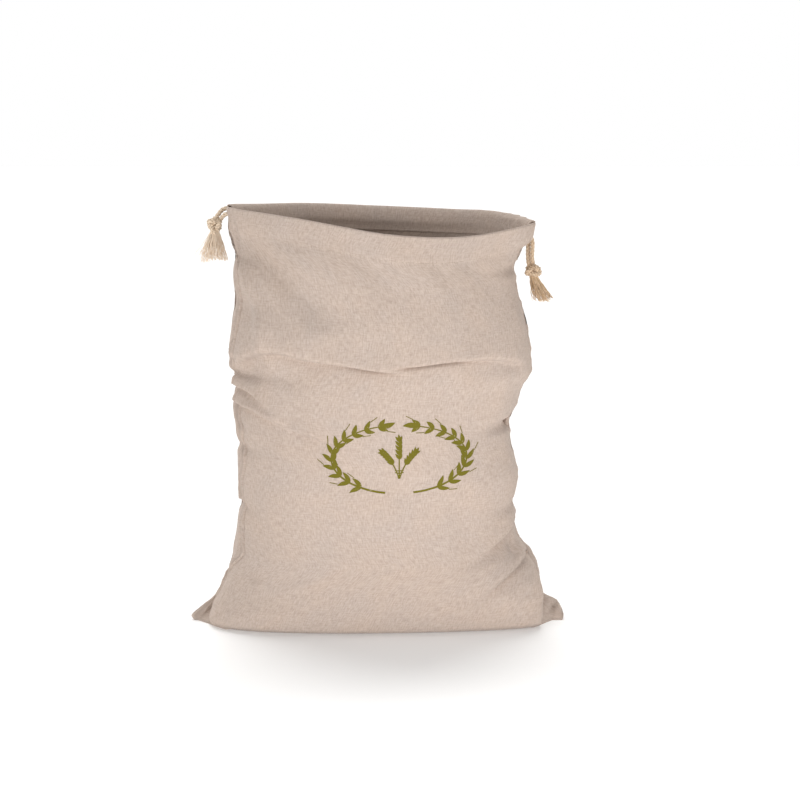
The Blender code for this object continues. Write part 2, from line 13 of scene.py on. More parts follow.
import bmesh
import bpy
import numpy as np
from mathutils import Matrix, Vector

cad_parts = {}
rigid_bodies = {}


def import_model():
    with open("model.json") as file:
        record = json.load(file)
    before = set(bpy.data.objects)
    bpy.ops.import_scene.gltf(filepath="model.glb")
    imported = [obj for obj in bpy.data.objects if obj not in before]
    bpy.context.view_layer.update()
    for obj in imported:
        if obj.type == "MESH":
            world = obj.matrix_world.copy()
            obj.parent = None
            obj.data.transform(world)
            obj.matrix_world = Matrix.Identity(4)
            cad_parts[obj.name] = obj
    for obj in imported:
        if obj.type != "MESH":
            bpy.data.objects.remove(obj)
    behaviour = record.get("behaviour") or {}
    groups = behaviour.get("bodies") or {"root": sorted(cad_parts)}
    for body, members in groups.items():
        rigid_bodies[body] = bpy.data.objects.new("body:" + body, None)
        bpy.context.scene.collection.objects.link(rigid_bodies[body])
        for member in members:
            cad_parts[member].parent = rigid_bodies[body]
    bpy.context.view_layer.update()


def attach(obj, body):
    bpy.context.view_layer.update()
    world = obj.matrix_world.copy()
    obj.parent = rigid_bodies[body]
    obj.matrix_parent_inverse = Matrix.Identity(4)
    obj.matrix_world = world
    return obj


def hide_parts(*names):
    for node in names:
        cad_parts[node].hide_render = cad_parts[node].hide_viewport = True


MM = 0.001
PI = math.pi


def named(columns, rows):
    """A table's rows as dictionaries, by the names of its columns."""
    return [dict(zip(columns, row)) for row in rows]


# ---- the bag's tables, as its solid has them --------------------------------------------------
SWELL = ("x", "z", "long", "wide", "turn", "height")
CREASE = ("x", "z", "lip", "dip", "slot", "up", "down", "hang", "ends", "edge")

CLOTH = 0.9
CASING_DEPTH = 20.0
CASING_SKIN = 0.9
CORD_DIAMETER = 3.4
CORD_CLEARANCE = 0.36
LANE_PITCH = CORD_DIAMETER + 0.4
UPPER_LANE_BELOW_RIM = 6.0
REACH = 122.0
MOUTH_Y = 5.8
CASING_STATIONS = {"front": 32, "back": 30}
CROSSING_BULGE = 1.6
FREE_SPACING = 3.6

# Sections from the floor up: where the sides end, how far front and back stand out, and how
# each end closes (1 is an ellipse, less is boxier and more is sharper).
SECTIONS = {
    "z": (0, 3, 8, 13, 18, 25, 36, 45, 52, 64, 80, 125, 165, 192, 215, 245, 285, 300, 310, 318, 326,
          346),
    "left": (-138, -140, -140, -138, -135, -130, -125, -121, -119, -116.6, -114, -113, -114, -115,
             -117, -117, -115, -114, -114, -115, -117, -120),
    "right": (136, 139, 141, 142, 142, 142, 140, 136, 131.4, 121.6, 115, 114, 110, 117, 124, 122,
              112, 113, 117, 123, 127, 127),
    "front": (46, 53.5, 58, 60, 61.5, 62, 63, 63.5, 64, 64.5, 65, 66, 66, 66, 67, 66, 63, 62,
              61.5, 61, 61, 60),
    "back": (46, 52, 57, 60, 62, 63, 64, 64.5, 65, 65.5, 66, 67, 67, 66, 67, 66, 63, 62, 61.5, 61,
             61, 60),
    "end_left": (0.9, 0.92, 0.92, 0.92, 0.9, 0.9, 0.9, 0.9, 0.9, 0.92, 0.94, 0.96, 0.98, 1.0, 1.0,
                 1.0, 1.05, 1.1, 1.15, 1.2, 1.2, 1.25),
    "end_right": (0.72, 0.72, 0.74, 0.76, 0.78, 0.8, 0.84, 0.86, 0.88, 0.92, 0.94, 0.96, 0.98, 1.0,
                  1.0, 1.0, 1.05, 1.1, 1.15, 1.2, 1.2, 1.25),
}
# The front's own fuller corners near the floor, in place of the shared ends.
LOW_FRONT = {
    "z": (0, 3, 8, 13, 18, 25, 36, 45, 52, 64, 346),
    "end_left": (0.70, 0.72, 0.74, 0.78, 0.81, 0.85, 0.88, 0.90, 0.90, 0.92, 0.92),
    "end_right": (0.26, 0.28, 0.32, 0.40, 0.48, 0.57, 0.68, 0.77, 0.83, 0.92, 0.92),
}
LOW_FRONT_TOP = 64.0

# Along the floor the front's cloth runs straight out into each ear: from the base's corner to the
# ear's tip (x, y), leaning back by lean for each mm of height. Its marks are small swells.
EAR_RUNS = (
    {"corner": (-122, -37), "tip": (-153, -7), "lean": 1.9, "marks": ()},
    {"corner": (128, -32), "tip": (146, -12), "lean": 1.25, "marks": named(SWELL, (
        (141, 9, 13, 2.4, 52, 1.8), (148, 9.5, 6, 1.7, 62, -5.0), (136, 13, 11, 3.4, 58, -3.6)))},
)
EAR_BLEND = 1.2

# The cloth's flat edge beyond the body, which widens into the ear at each bottom corner, and how
# far the belly is pinched in where it meets the ear.
EDGES = {
    "z": (0, 3, 8, 13, 16, 19, 25, 36, 45, 52, 64, 84, 110, 296, 308, 320, 346),
    "left": (17, 17, 12, 7, 3.4, 1.8, 1.4, 1.2, 1.0, 0.8, 0.6, 0.4, 0.4, 0.4, 0.4, 0.4, 0.4),
    "right": (21.5, 21.5, 20.5, 17, 12, 6, 2.5, 1.6, 1.2, 1.0, 0.6, 0.4, 0.4, 0.4, 0.4, 0.4, 0.4),
    "pinch_left": (1.5, 2.5, 3, 2.5, 2, 1.5, 1, 0.5, 0, 0, 0, 0, 0, 0, 0, 0, 0),
    "pinch_right": (3, 5, 7.5, 8.5, 9, 9, 8.5, 7, 4.5, 3, 0.6, 0, 0, 0, 0, 0, 0),
    "thick": (2.4, 2.6, 2.4, 2.1, 1.9, 1.7, 1.4, 1.3, 1.3, 1.3, 1.3, 1.3, 1.3, 1.3, 1.3, 1.3,
              1.3),
    "left_y": (-7, -7, -6, -5, -4.5, -4, -3, -2, -1.5, -1, -0.4, 0, 0, 0, 0, 0, 0),
    "right_y": (5, 5, 5, 4, 3.5, 3, 1, 0, 0, 0, 0, 0, 0, 0, 0, 0, 0),
}
PINCH_ANGLE = 0.17
EDGE_ANGLE = 0.08

# The rim's height along each panel.
RIM = {
    "front": {"x": (-120, -88, -57, -26, 4, 35, 60, 82, 106, 128),
              "z": (341, 339, 335.5, 330.5, 325.5, 322.5, 321.5, 322.5, 325.5, 328.5)},
    "back": {"x": (-120, -104, -60, 0, 60, 100, 128),
             "z": (342.5, 341.2, 340, 337, 335, 334, 329.5)},
}

# Soft swells (+) and dents (-): centre, half lengths along and across, turn in degrees.
SWELLS = {
    "front": named(SWELL, (
        (-72, 289, 44, 11, -40, -7.5), (-97, 276, 26, 6.5, -66, 5.4), (-87, 243, 20, 7, 92, 5.8),
        (-111.5, 318, 16, 1.8, 100, -1.8), (-40, 246, 46, 14, 6, 2.6),
        (8, 288, 44, 13, -38, -2.0), (60, 262, 40, 24, 10, 1.6), (20, 122, 40, 15, -16, -2.2),
        (-60, 118, 30, 24, 40, 1.8), (70, 130, 34, 26, -30, 1.8), (-40, 58, 52, 18, 8, 1.6),
        (40, 40, 48, 16, -10, 1.4), (-86, 212, 24, 7, -10, -3.4), (112.5, 66, 8, 2.4, 92, -2.4),
        (-100, 45, 8, 3.2, -50, -2.0), (-52, 300, 30, 12, -30, 1.4),
    )),
    "back": named(SWELL, (
        (-60, 276, 44, 16, 30, -2.4), (48, 282, 46, 18, -28, 2.0), (0, 160, 50, 20, 24, -2.6),
        (-55, 130, 34, 26, 0, 2.2), (60, 90, 40, 22, -30, 2.2),
    )),
}

# Creases: the cloth above the line hangs as a lip over the cloth below it. lip and dip are the
# heights above and below the line, up and down their reach, slot the depth of the narrow fold
# under the lip, hang the lip's drop, ends the shares of the line that fade in and out, and edge
# the lip's softness from the line's start to its end.
CREASES = {
    "front": named(CREASE, (
        ((-118, -104, -82, -55, -27, 4, 30), (211, 223, 231, 227, 224, 219.5, 215),
         4.8, 6.2, 3.6, 16, 16, 2.4, (0.14, 0.22), (2.2, 2.4, 1.6, 0.8, 0.7)),
        ((8, 43, 70, 98, 122), (220.5, 224.5, 226.3, 224.4, 217),
         3.8, 3.0, 4.4, 18, 13, 2.4, (0.25, 0.1), (0.8, 0.75, 1.0, 2.0, 3.0)),
        ((-118, -109, -101, -93, -84, -78), (200, 198, 196, 192, 186, 181),
         4.0, 3.0, 2.4, 9, 6, 1.0, (0.0, 0.35), (0.9, 1.2, 2.0)),
        ((-118, -111, -98, -88, -81, -66), (187, 184.2, 182, 177.8, 175.4, 169.6),
         4.0, 4.0, 1.6, 9, 12, 0.8, (0.0, 0.3), (1.0, 1.2, 2.2)),
        ((68, 82, 92, 101, 108, 114), (58, 65, 69, 74, 79, 87),
         3.0, 3.4, 2.4, 12, 9, 0.5, (0.5, 0.0), (2.2, 1.1, 0.8)),
        ((74, 86, 100, 117, 132), (24, 33, 43, 55, 64),
         3.0, 3.8, 3.0, 10, 9, 0.8, (0.4, 0.0), (1.8, 0.8, 0.9)),
        ((-72, -66, -54.7, -42.4, -33), (171.5, 169.4, 166.5, 162.9, 159.0),
         2.4, 3.4, 1.2, 5, 9, 0.4, (0.3, 0.3), (1.0, 1.0, 1.8)),
    )),
    "back": named(CREASE, (
        ((-118, -80, -40, -5), (206, 214, 212, 203),
         3.0, 3.4, 2.0, 15, 12, 1.6, (0.0, 0.4), (1.0, 1.0)),
        ((-20, 30, 75, 124), (228, 224, 228, 220),
         3.0, 3.4, 2.4, 16, 12, 1.8, (0.4, 0.0), (1.0, 1.0)),
        ((50, 80, 112), (150, 160, 168),
         2.4, 2.4, 0.8, 10, 10, 0.5, (0.5, 0.0), (1.0, 1.0)),
        ((-112, -85, -50), (104, 92, 76),
         2.2, 2.4, 0.8, 11, 11, 0.5, (0.0, 0.5), (1.0, 1.0)),
    )),
}

# Notches (-) and bulges (+) at the two edges: height, depth, reach up and down, reach inwards.
NOTCHES = {"left": {
    "z": (99, 149, 176, 196, 208.8, 226, 266, 303, 322),
    "depth": (-2.6, -3.0, 1.6, -1.8, -4.6, 1.8, -3.4, -2.4, 1.6),
    "half": (5, 4.5, 9, 2.4, 2.8, 10, 12, 5, 7),
    "inward": (16, 18, 24, 14, 18, 30, 34, 14, 14),
}, "right": {
    "z": (72, 99, 122, 167, 208, 293, 316),
    "depth": (-2.2, -2.8, 1.4, -6.4, 3.0, -3.0, 3.6),
    "half": (7, 4.5, 12, 4.6, 9, 4.5, 6.5),
    "inward": (26, 16, 30, 20, 30, 16, 14),
}}
# The gathers that stand out from the back by the right slit.
BACK_PLEATS = {
    "x": (84, 94, 102, 107.6, 114, 119.6),
    "height": (1.4, 2.0, 2.4, 4.8, 5.2, 3.6),
    "half": (3.0, 3.0, 2.4, 1.8, 2.0, 1.6),
    "reach": 18,
}

KNOTS = {
    "left": {"centre": (-128.6, -0.5, 326.4), "half": (6.3, 5.8, 7.0), "entry": (0.5, 0, 0.86),
             "tip": (-130.5, 0, 295.5), "fan": (12.5, 8.0), "turn": 0.5},
    "right": {"centre": (126.6, 0.0, 289.6), "half": (7.0, 5.8, 5.4), "entry": (-0.4, 0, 0.92),
              "tip": (135.2, 0, 263.0), "fan": (8.6, 6.5), "turn": 1.5},
}
KNOT_BITE = 0.7
FREE_ENDS = {
    "left": {
        "front": ((-114.8, -4.3, 335.4), (-117.2, -3.5, 335.9), (-119.8, -2.5, 335.0)),
        "back": ((-114.8, 4.3, 337.0), (-117.4, 3.7, 338.8), (-120.4, 2.8, 339.2),
                 (-123.4, 1.4, 337.4)),
    },
    "right": {
        "front": ((120.2, -4.6, 318.6), (123.0, -3.4, 317.4), (125.2, -2.3, 314.8),
                  (125.7, -1.6, 310.6), (125.6, -1.3, 305.5), (125.5, -1.0, 300.5)),
        "back": ((120.9, 4.7, 320.8), (122.1, 3.7, 318.6), (122.7, 2.6, 315.0),
                 (122.6, 1.7, 310.2), (122.4, 1.2, 304.8), (122.5, 0.8, 299.8)),
    },
}

# ---- what only the looks have -----------------------------------------------------------------
# Where the front and back panels are joined, as angles round the bag, at each height. Above a
# slit's foot the front panel ends at front and the back panel at back.
LEFT_JOINED = (0.03, 0.04, 0.07, 0.11, 0.19, 0.32, 0.40, 0.38, 0.34, 0.30, 0.38, 0.32, 0.33, 0.24,
               0.22, 0.22, 0.27, 0.31, 0.34, 0.36, 0.36, 0.35, 0.33)
RIGHT_JOINED = (-0.03, -0.04, -0.16, -0.16, -0.12, -0.10, 0.0)
LEFT_JOIN = {
    "z": (0, 12, 26, 40, 47, 55, 60, 68, 80, 118, 143, 152, 164, 175, 185, 207, 222, 230, 242, 258,
          267, 287, 297, 302, 310, 316, 324, 329, 334, 341),
    "front": LEFT_JOINED + (0.30, 0.24, 0.21, 0.20, 0.20, 0.20, 0.20),
    "back": LEFT_JOINED + (0.28, 0.02, -0.10, -0.18, -0.20, -0.20, -0.20),
}
RIGHT_JOIN = {
    "z": (0, 20, 60, 120, 200, 260, 296, 306, 314, 329),
    "front": RIGHT_JOINED + (0.12, 0.16, 0.13),
    "back": RIGHT_JOINED + (-0.12, -0.16, -0.13),
}
SLIT_FOOT_Z = {"left": 302.0, "right": 297.0}

SEAM_STITCH = 5.3
SEAM_SEWN_FROM = 66
HEM_GAP = 0.12
CASING_ROOM = CORD_DIAMETER + 2 * CORD_CLEARANCE
RIM_RADIUS = 1.25


# ---- curves through short tables --------------------------------------------------------------
def through(knots, values, at):
    """A smooth curve through (knots, values), held level beyond its ends."""
    knots = np.asarray(knots, float)
    values = np.asarray(values, float)
    at = np.clip(np.asarray(at, float), knots[0], knots[-1])
    slopes = np.gradient(values, knots)
    i = np.clip(np.searchsorted(knots, at, side="right") - 1, 0, len(knots) - 2)
    step = knots[i + 1] - knots[i]
    t = (at - knots[i]) / step
    return (
        (1 + 2 * t) * (1 - t) ** 2 * values[i]
        + t * (1 - t) ** 2 * step * slopes[i]
        + t**2 * (3 - 2 * t) * values[i + 1]
        + t**2 * (t - 1) * step * slopes[i + 1]
    )


def column_of(table, name, z):
    return through(table["z"], table[name], z)


def rim_height(x, side):
    return through(RIM[side]["x"], RIM[side]["z"], x)


def smooth_step(share):
    t = np.clip(share, 0, 1)
    return t * t * (3 - 2 * t)


def bell(off, reach, power=2):
    """1 at the middle, falling to nothing about two reaches away."""
    return np.exp(-(np.abs(off / reach) ** power))


def run_along(line):
    """How far along a line of points each of them lies."""
    return np.concatenate([[0], np.cumsum(np.linalg.norm(np.diff(line, axis=0), axis=1))])


def smooth_path(points, spacing):
    """A smooth curve through points, read at even spacing."""
    points = np.asarray(points, float)
    run = run_along(points)
    at = np.linspace(0, run[-1], max(2, int(round(run[-1] / spacing)) + 1))
    return np.stack([through(run, points[:, i], at) for i in range(3)], axis=-1)


# ---- the body and the cords' routes -----------------------------------------------------------
def face_points(depth, body, z, end_left, end_right):
    """(x, the join's y, how far out) of a face before any fold; body runs from 0 to pi (mm)."""
    left, right = column_of(SECTIONS, "left", z), column_of(SECTIONS, "right", z)
    x = (left + right) / 2 - (right - left) / 2 * np.cos(body)
    share = (x - left) / (right - left)
    join_y = (column_of(EDGES, "left_y", z) * (1 - share) ** 3
              + column_of(EDGES, "right_y", z) * share**3)
    end = end_left * (1 - share) + end_right * share
    x = x + column_of(EDGES, "pinch_left", z) * bell(body, PINCH_ANGLE)
    x = x - column_of(EDGES, "pinch_right", z) * bell(PI - body, PINCH_ANGLE)
    round_out = depth * np.maximum(np.sin(body), 0) ** end
    return x, join_y, np.sqrt(round_out**2 + column_of(EDGES, "thick", z) ** 2)


def body_skin(side, angles, z):
    """The solid's panel before any fold, at the given angles and heights (mm)."""
    ends = (column_of(SECTIONS, name, z) for name in ("end_left", "end_right"))
    x, join_y, out = face_points(column_of(SECTIONS, side, z), angles, z, *ends)
    return np.stack([x, join_y + (out if side == "back" else -out), z], axis=-1)


def swell(mound, x, z):
    """The height that one swell or dent adds at x, z."""
    turn = math.radians(mound["turn"])
    dx, dz = x - mound["x"], z - mound["z"]
    along = dx * math.cos(turn) + dz * math.sin(turn)
    across = dz * math.cos(turn) - dx * math.sin(turn)
    return mound["height"] * bell(along, mound["long"]) * bell(across, mound["wide"])


def outward(points, turn=1):
    """Unit normals of a grid of rows and columns of points."""
    normal = np.cross(np.gradient(points, axis=1), np.gradient(points, axis=0))
    length = np.linalg.norm(normal, axis=-1, keepdims=True)
    return turn * normal / np.maximum(length, 1e-9)


CASING_FINE = 241
SLOPE_STEP = 0.5


def casing_line(side, below_rim):
    """Evenly spaced points of a cord's lane in one panel's casing, from left to right (mm)."""
    fine = np.linspace(0, PI, CASING_FINE)
    x = -REACH * np.cos(fine)
    for _ in range(3):
        z = rim_height(x, side) - below_rim
        x = body_skin(side, fine, z)[..., 0]
    rows = np.stack([z - SLOPE_STEP, z, z + SLOPE_STEP])
    skin = body_skin(side, np.broadcast_to(fine, rows.shape), rows)
    away = outward(skin, 1 if side == "front" else -1)
    for mound in SWELLS[side]:
        skin += away * swell(mound, skin[..., 0], skin[..., 2])[..., None]
    line = skin[1] - away[1] * (CASING_SKIN + CORD_CLEARANCE + CORD_DIAMETER / 2)
    run = run_along(line)
    inside = np.abs(line[:, 1]) > MOUTH_Y
    at = np.linspace(run[inside][0], run[inside][-1], CASING_STATIONS[side])
    return np.stack([np.interp(at, run, line[:, i]) for i in range(3)], axis=-1)


def knot_end(side, end):
    """Where one end of a cord meets its knot, beside the other end."""
    knot = KNOTS[side]
    entry, half = np.array(knot["entry"]), np.array(knot["half"])
    reach = 1 / np.linalg.norm(entry / half)
    place = np.array(knot["centre"]) + entry * (reach * KNOT_BITE)
    beside = np.array((entry[2], 0, -entry[0])) * (CORD_DIAMETER / 2)
    return place + (beside if end == "front" else -beside)


def cord_route(side):
    """The whole cord: knot, front casing, round the far slit, back casing, knot (mm)."""
    lane = UPPER_LANE_BELOW_RIM + (LANE_PITCH if side == "right" else 0)
    front, back = casing_line("front", lane), casing_line("back", lane)
    if side == "right":
        front, back = front[::-1], back[::-1]
    free = FREE_ENDS[side]
    leave = [knot_end(side, "front"), *free["front"][::-1], front[0]]
    come = [back[0], *free["back"], knot_end(side, "back")]
    start = smooth_path(leave, FREE_SPACING)[:-1]
    finish = smooth_path(come, FREE_SPACING)[1:]
    far = (front[-1] + back[-1]) / 2
    far[0] += CROSSING_BULGE if side == "left" else -CROSSING_BULGE
    return np.concatenate([start, front, far[None], back[::-1], finish])


# ---- the cloth's folds ------------------------------------------------------------------------
FADE_SHARE = 0.15
LIP_POWER = 1.3
SLOT_HALF, SLOT_SHARP = 2.4, 0.9
HANG_REACH = 5
WAVE_BEND = 1.3


def crease(fold, x, z):
    """(height along the normal, drop) that one crease adds at x, z."""
    line = through(fold["x"], fold["z"], x)
    slope = (through(fold["x"], fold["z"], x + 1) - through(fold["x"], fold["z"], x - 1)) / 2
    off = (z - line) / np.sqrt(1 + slope**2)
    share = (x - fold["x"][0]) / (fold["x"][-1] - fold["x"][0])
    fade = np.ones_like(share)
    for place, length in ((share, fold["ends"][0]), (1 - share, fold["ends"][1])):
        if length > 0:
            fade = fade * smooth_step(place / length)
        fade = fade * smooth_step((place + FADE_SHARE) / FADE_SHARE)
    soft = np.interp(share, np.linspace(0, 1, len(fold["edge"])), fold["edge"])
    above = 0.5 * (1 + np.tanh(off / soft))
    lip = above * bell(off, fold["up"], LIP_POWER)
    dip = (1 - above) * bell(off, fold["down"], LIP_POWER)
    slot = (1 - above) * bell(off, SLOT_HALF) * np.minimum(1, (SLOT_SHARP / soft) ** 2)
    height = fold["lip"] * lip - fold["dip"] * dip - fold["slot"] * slot
    return fade * height, -fade * fold["hang"] * bell(off, HANG_REACH, 1) * above


def notches(table, z, from_edge):
    """The height that one edge's notches and bulges add, at a distance from that edge."""
    total = np.zeros_like(z)
    rows = zip(table["z"], table["depth"], table["half"], table["inward"])
    for height, depth, half, inward in rows:
        total += depth * bell(z - height, half) * bell(from_edge, inward)
    return total


def slack(seed, shortest, longest, count, u, z):
    """Slow waves of loose cloth, about -1 to 1, the same each time for a seed."""
    pick = np.random.default_rng(seed)
    total = np.zeros_like(u)
    for _ in range(count):
        turn = pick.uniform(0, PI)
        length = shortest * (longest / shortest) ** pick.uniform()
        phase = pick.uniform(0, 2 * PI)
        along = u * math.cos(turn) + z * math.sin(turn)
        across = z * math.cos(turn) - u * math.sin(turn)
        total += np.sin(2 * PI * along / length + phase + WAVE_BEND * np.sin(across / length + phase))
    return total / math.sqrt(count)


# ---- the cloth's rings ------------------------------------------------------------------------
# Each ear's ridge and forward bend, as shares of its width, and the width over which they grow.
LEFT_EAR = {"ridge": 2.6, "at": 0.14, "half": 0.12, "forward": 2.4, "grows": 14}
RIGHT_EAR = {"ridge": 3.4, "at": 0.56, "rise": 0.028, "half": 0.10, "forward": 3.2, "bow": 0.7,
             "grows": 18}
EAR_STARTS = 1.4
BEHIND_THE_RUN = 40.0


def edge_shares(angles):
    """(angle from -pi to pi, share of the way out along the left flat edge, along the right)."""
    angles = (angles + PI) % (2 * PI) - PI
    around = np.abs(angles)
    out_left = np.clip(1 - around / EDGE_ANGLE, 0, 1)
    return angles, out_left, np.clip(1 - (PI - around) / EDGE_ANGLE, 0, 1)


def ear_curl(out_left, out_right, z):
    """How far the ears bend to the rear (+) or front (-), along their widths (mm)."""
    wide_left, wide_right = (
        np.clip((column_of(EDGES, name, z) - EAR_STARTS) / ear["grows"], 0, 1)
        for name, ear in (("left", LEFT_EAR), ("right", RIGHT_EAR)))
    turned = LEFT_EAR["ridge"] * bell(out_left - LEFT_EAR["at"], LEFT_EAR["half"])
    turned = turned - LEFT_EAR["forward"] * out_left
    slot = RIGHT_EAR["at"] + RIGHT_EAR["rise"] * z
    curled = RIGHT_EAR["ridge"] * bell(out_right - slot, RIGHT_EAR["half"])
    curled = curled - RIGHT_EAR["forward"] * np.sin(PI * out_right * RIGHT_EAR["bow"])
    return wide_left * turned * (out_left > 0) + wide_right * curled * (out_right > 0)


def ear_run(run, x, z):
    """How far back the straight run of cloth into an ear lies at x, at a height (mm)."""
    (corner_x, corner_y), (tip_x, tip_y) = run["corner"], run["tip"]
    share = (x - corner_x) / (tip_x - corner_x)
    straight = corner_y + (tip_y - corner_y) * np.clip(share, 0, 1)
    for mark in run["marks"]:
        straight = straight - swell(mark, x, z)
    return straight + run["lean"] * z + BEHIND_THE_RUN * np.maximum(-share, 0)


def flat_middle(angles, z):
    """The y of the middle between the two faces at the flat edges."""
    angles, out_left, out_right = edge_shares(angles)
    nearer = np.where(np.abs(angles) < PI / 2, column_of(EDGES, "left_y", z),
                      column_of(EDGES, "right_y", z))
    return nearer + ear_curl(out_left, out_right, z)


def ring_skin(angles, z):
    """Points of the bag at any angle round it, before any fold (mm). The outermost EDGE_ANGLE of
    each face is the flat edge beyond the body."""
    angles, out_left, out_right = edge_shares(angles)
    front = angles >= 0
    body = np.clip(PI * (np.abs(angles) - EDGE_ANGLE) / (PI - 2 * EDGE_ANGLE), 0, PI)
    depth = np.where(front, column_of(SECTIONS, "front", z), column_of(SECTIONS, "back", z))
    fuller = front & (z < LOW_FRONT_TOP)
    ends = (np.where(fuller, column_of(LOW_FRONT, name, z), column_of(SECTIONS, name, z))
            for name in ("end_left", "end_right"))
    x, join_y, out = face_points(depth, body, z, *ends)
    out = out * np.sqrt(np.maximum(1 - np.maximum(out_left, out_right) ** 2, 0))
    x = x - column_of(EDGES, "left", z) * out_left + column_of(EDGES, "right", z) * out_right
    y = join_y + ear_curl(out_left, out_right, z) + np.where(front, -1, 1) * out
    for run in EAR_RUNS:
        reach = ear_run(run, x, z)
        y = np.where(front, -EAR_BLEND * np.logaddexp(-y / EAR_BLEND, -reach / EAR_BLEND), y)
    return np.stack([x, y, z + 0 * x], axis=-1)


def spread_columns(count, dense):
    """Shares from 0 to 1 for a panel's columns, closer together where dense says so."""
    fine = np.linspace(0, 1, 2001)
    weight = np.ones_like(fine)
    for place, reach, gain in dense:
        weight += gain * bell(fine - place, reach, 4)
    run = np.concatenate([[0], np.cumsum((weight[1:] + weight[:-1]) / 2)])
    return np.interp(np.linspace(0, run[-1], count + 1), run, fine)


def arc_from_middle(points):
    """Distance along each row of points, from the middle column."""
    steps = np.linalg.norm(np.diff(points, axis=1), axis=-1)
    run = np.concatenate([np.zeros((len(points), 1)), np.cumsum(steps, axis=1)], axis=1)
    return run - run[:, run.shape[1] // 2][:, None]


def lowest_near(values, reach):
    """Each value's lowest neighbour up and down a column, evened out."""
    found = values.copy()
    for step in range(1, reach + 1):
        found[step:] = np.minimum(found[step:], values[:-step])
        found[:-step] = np.minimum(found[:-step], values[step:])
    padded = np.pad(found, ((reach, reach), (0, 0)), mode="edge")
    return sum(padded[i:i + len(values)] for i in range(2 * reach + 1)) / (2 * reach + 1)


# ---- the two panels ---------------------------------------------------------------------------
COLUMNS = {"front": 138, "back": 90}
# Where along a panel its columns lie closer together: place, reach, gain.
DENSE = {"front": ((0.0, 0.05, 2.4), (1.0, 0.05, 3.6)),
         "back": ((0.0, 0.13, 2.4), (1.0, 0.12, 4.6))}
# Heights (from, to, step) of the outside's rows, close together where the creases lie, and the
# rows from there up to the casing's stitching.
ROW_SPANS = ((0, 8, 1.0), (8, 160, 2.2), (160, 206, 1.5), (206, 236, 0.7), (236, 240, 1.3))
UPPER_ROWS = 33
# Rows of the casing, as depths below the rim.
HEM_ROWS = (0.5, 1.1, 1.9, 3.0, 4.5, 6.5, 8.5, 10.5, 12.5, 14.5, 16.5, 18.2, 19.4, 20.0)
NEXT_TO_EDGE = 0.35
CALM_NEAR_FLOOR = 12
CALM_BELOW_RIM = 12
# Across a seam, out from the join: its valley, the rolled edge and the groove of its stitches.
SEAM_VALLEY = {"height": -1.3, "at": 0, "half": 1.3}
SEAM_ROLL = {"height": 0.8, "at": 2.7, "half": 1.5}
SEAM_GROOVE = {"left": -1.3, "right": -0.8, "half": 0.8}
SEAM_CLOSES_OVER = 5
SEAM_PULL, SEAM_PULL_REACH, SEAM_PULL_POWER = 0.5, 8, 1.5
# Along a slit: its hem's thickness, width and edge, and the groove beside it.
SLIT_HEM = {"height": 0.7, "width": 6.0, "edge": 0.9}
SLIT_GROOVE = {"height": -0.5, "at": 5.0, "half": 0.6}
CASING_GROOVE = {"height": -0.34, "half": 0.8}
GATHER = {"height": 0.30, "below": 15, "half": 11}
# Loose cloth's waves: height, shortest, longest, how many.
BROAD_SLACK = (0.42, 26, 75, 12)
FINE_SLACK = (0.11, 8, 22, 16)
LOW_SLACK = (0.5, 12, 30, 8)
INNER_CALM_ROWS = 5
INNER_FINE_SHARE = 0.5
TUCK_REACH = 2.5
CASING_BLEND = 12
FLOOR_WALL_TOP = 25.0
SPINE_GAP = 0.1
LANES_HALF, LANES_POWER = 7.0, 4
# The rim's height at both edges, as a first guess.
FIRST_RIM = (341.0, 329.0)
# Where the low slack lies: height, half height, distance from the middle, half width.
LOW_SLACK_AT = (25, 32, 100, 40)
# How much of the fine slack the rim itself keeps.
FINE_AT_RIM = 0.25
# Waves along a seam and of the gathers by the casing: shortest, longest, how many.
SEAM_WAVES, SEAM_WAVES_AT = (6, 13, 5), 3.1
GATHER_WAVES = (7, 22, 6)
SEEDS = {"left": 11, "right": 12, "front": {"gather": 21, "slack": 31},
         "back": {"gather": 22, "slack": 41}}
HEM_LIP_DROP = 0.4


def casing_gap(below_rim):
    """The room between the cloth and the turned-in casing, for two lanes of cord."""
    middle = UPPER_LANE_BELOW_RIM + LANE_PITCH / 2
    return HEM_GAP + CASING_ROOM * bell(below_rim - middle, LANES_HALF, LANES_POWER)


def rolled_in(below_rim):
    """How far the cloth's back face is drawn down just under the rim."""
    return np.where(below_rim < TUCK_REACH, CLOTH * (1 - below_rim / TUCK_REACH) ** 2, 0)


